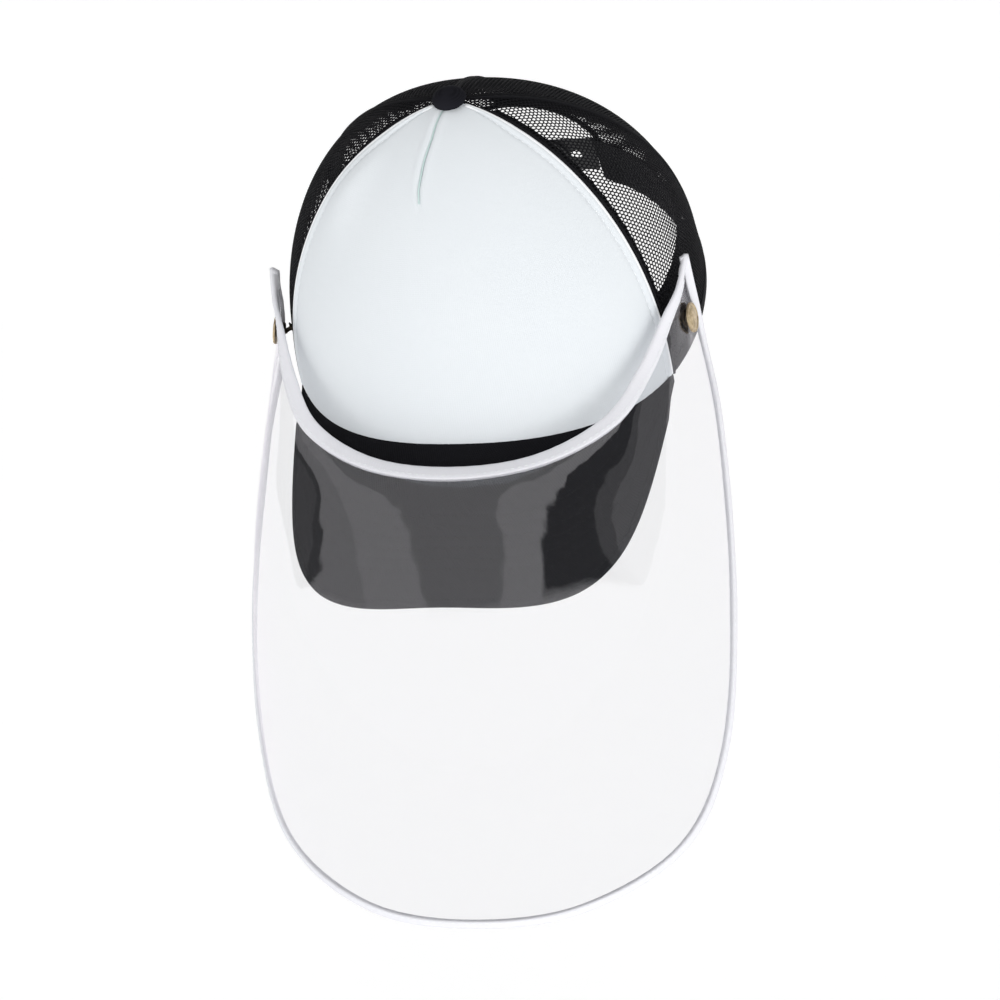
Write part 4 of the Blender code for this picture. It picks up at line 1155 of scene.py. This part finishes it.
def make_snap_caps(grid, normal):
    """The snaps' outer caps: a rolled rim, a hollow inside it and a low dome."""
    profile = smooth_profile([(0.0, -0.0004), (0.0014, -0.0004), (0.0014, 0.0007),
                              (0.0056, 0.0012), (0.0062, 0.0013), (0.00625, 0.0018),
                              (0.0060, 0.0023), (0.0055, 0.0023), (0.0051, 0.0019),
                              (0.0046, 0.0019), (0.0036, 0.0025), (0.0020, 0.0028),
                              (0.0, 0.00285)])
    flat, normals = grid.reshape(-1, 3), normal.reshape(-1, 3)
    for side, sign in SIDES:
        away = np.hypot(flat[:, 1] - SNAP_Y, flat[:, 2] - SNAP_Z) + (flat[:, 0] * sign < 0.0)
        near = np.argsort(away)[:8]
        axis = unit(normals[near].mean(axis=0))
        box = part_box(f"snap_cap_{side}")
        centre = 0.5 * (np.array(box[0]) + np.array(box[1])) - 0.0012 * axis
        cap = turned(f"snap_button_{side}", profile, centre, axis, "brass")
        place(cap, "shield", "brass", f"snap_cap_{side}")


def make_studs():
    """The cap's snap studs, with balls that the sockets clear at every angle of the shield."""
    for side, sign in SIDES:
        model = np.array([v.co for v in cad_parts[f"snap_stud_{side}"].data.vertices])
        middle = model.mean(axis=0)
        directions = np.linalg.svd(model - middle)[2]
        axis = directions[np.argmax(np.abs(directions[:, 0]))]
        axis = axis * np.sign(axis[0]) * sign
        heights = (model - middle) @ axis
        base, ball = heights.min(), heights.max() - 0.0006
        profile = smooth_profile([(0.0, base), (0.0024, base), (0.0024, base + 0.0003),
                                  (0.0009, base + 0.0005), (0.0009, ball - 0.0008),
                                  (0.0013, ball - 0.0003), (0.0010, ball + 0.0001),
                                  (0.0, ball + 0.0002)])
        stud = turned(f"cap_stud_{side}", profile, middle, axis, "dark_metal", 32)
        place(stud, "cap", "brass", f"snap_stud_{side}")


# ---------------------------------------------------------------- room, light and camera

def make_stage():
    floor_z = CAD_BOX[0][2] - FLOOR_DROP
    size = 0.5 * FLOOR_WIDTH
    floor = build("floor", [(-size, -size, floor_z), (size, -size, floor_z),
                            (size, size, floor_z), (-size, size, floor_z)], [(0, 1, 2, 3)],
                  ["floor"])


# The tent's soft boxes and gaps, from the wearer's right to the left: where each one ends, as a
# share of the tent's width, and how bright it is.
BOXES = ((0.08, 0.26), (0.14, 0.15), (0.265, 0.85), (0.40, 1.03), (0.55, 0.66), (0.65, 1.02),
         (0.80, 0.04), (0.90, 0.28), (1.0, 0.50))
BOX_EDGE = 0.005            # half the soft edge between two boxes
TENT_LIGHT = 1.06           # brightness of the tent outside its boxes


def make_world():
    """A white tent of soft boxes overhead, with dark gaps between them."""
    world = bpy.data.worlds.new("studio")
    world.use_nodes = True
    bpy.context.scene.world = world
    nodes = Nodes(world.node_tree)
    direction = nodes.add("TexCoord", out="Generated")
    x, y, z = nodes.add("SeparateXYZ", {0: direction}).node.outputs
    degrees = 180.0 / math.pi
    forward = nodes.math("MULTIPLY", y, -1.0)
    ahead = nodes.math("MULTIPLY", nodes.math("ARCTAN2", forward, z), degrees)
    aside = nodes.math("MULTIPLY", nodes.math("ARCTAN2", x, z), degrees)

    centre = nodes.math("MULTIPLY_ADD", ahead, 0.27, -7.0)
    width = nodes.math("MAXIMUM", nodes.math("MULTIPLY_ADD", ahead, 2.6, 140.0), 60.0)
    offset = nodes.math("DIVIDE", nodes.math("SUBTRACT", aside, centre), width)
    stops, start = [], 0.0
    for end, level in BOXES:
        stops += [(start + BOX_EDGE, 3 * (level,)), (end - BOX_EDGE, 3 * (level,))]
        start = end
    boxes = nodes.ramp(nodes.math("ADD", offset, 0.5), stops)
    overhead = nodes.math("MULTIPLY", nodes.math("GREATER_THAN", z, 0.02),
                          nodes.math("LESS_THAN", nodes.math("ABSOLUTE", ahead), 90.0))
    fading = nodes.math("MINIMUM", nodes.math("MULTIPLY_ADD", ahead, -0.14, 6.2), 1.0)
    banded = nodes.math("MULTIPLY", overhead, nodes.math("MAXIMUM", fading, 0.0))
    darker = nodes.math("SUBTRACT", boxes, TENT_LIGHT)
    background = nodes.tree.nodes["Background"].inputs
    nodes.feed(background["Color"], nodes.math("MULTIPLY_ADD", darker, banded, TENT_LIGHT))
    background["Strength"].default_value = 1.0


def soft_sun(name, strength, travel):
    """A broad lamp that lights cloth but isn't itself mirrored in the film."""
    data = bpy.data.lights.new(name, "SUN")
    data.energy = strength
    data.angle = math.radians(SUN_SPREAD)
    lamp = bpy.data.objects.new(name, data)
    lamp.visible_glossy = False
    bpy.context.scene.collection.objects.link(lamp)
    lamp.rotation_euler = Vector(travel).to_track_quat("-Z", "Y").to_euler()


def make_lights():
    soft_sun("front_sun", 0.88, (-0.30, 0.75, -0.30))
    soft_sun("left_sun", 0.88, (-0.90, 0.30, -0.20))
    soft_sun("right_sun", 0.40, (0.90, 0.30, -0.20))


def make_camera():
    """The photograph's angle: from ahead, above and the wearer's left, with a slight roll."""
    azimuth, elevation, roll = (math.radians(a) for a in (18.73, 42.63, 13.90))
    back = Vector((math.sin(azimuth) * math.cos(elevation),
                   -math.cos(azimuth) * math.cos(elevation), math.sin(elevation)))
    right = Vector((math.cos(azimuth), math.sin(azimuth), 0.0))
    up = back.cross(right)
    data = bpy.data.cameras.new("camera")
    data.lens, data.sensor_width = 126.5, 36.0
    data.clip_start, data.clip_end = 0.1, 40.0
    camera = bpy.data.objects.new("camera", data)
    bpy.context.scene.collection.objects.link(camera)
    across = right * math.cos(roll) - up * math.sin(roll)
    upright = right * math.sin(roll) + up * math.cos(roll)
    turn = Matrix((across, upright, back)).transposed().to_4x4()
    turn.translation = -0.019658 * right - 0.076484 * up + 1.48024 * back
    camera.matrix_world = turn
    bpy.context.scene.camera = camera


# ---------------------------------------------------------------- everything

make_front()
make_nets()
make_tapes()
make_band()
make_button()
make_visor()
make_arch()
make_shield()
make_studs()
keep("button_washer", "tape")
keep("visor_board", "board")
for node in ("hole_strap", "peg_strap", "hole_strap_root", "peg_strap_root"):
    keep(node, "plastic")
for side, _ in SIDES:
    for node in ("snap_post", "snap_socket"):
        keep(f"{node}_{side}", "dark_metal")
make_stage()
make_world()
make_lights()
make_camera()
bpy.context.scene.view_settings.view_transform = "Standard"
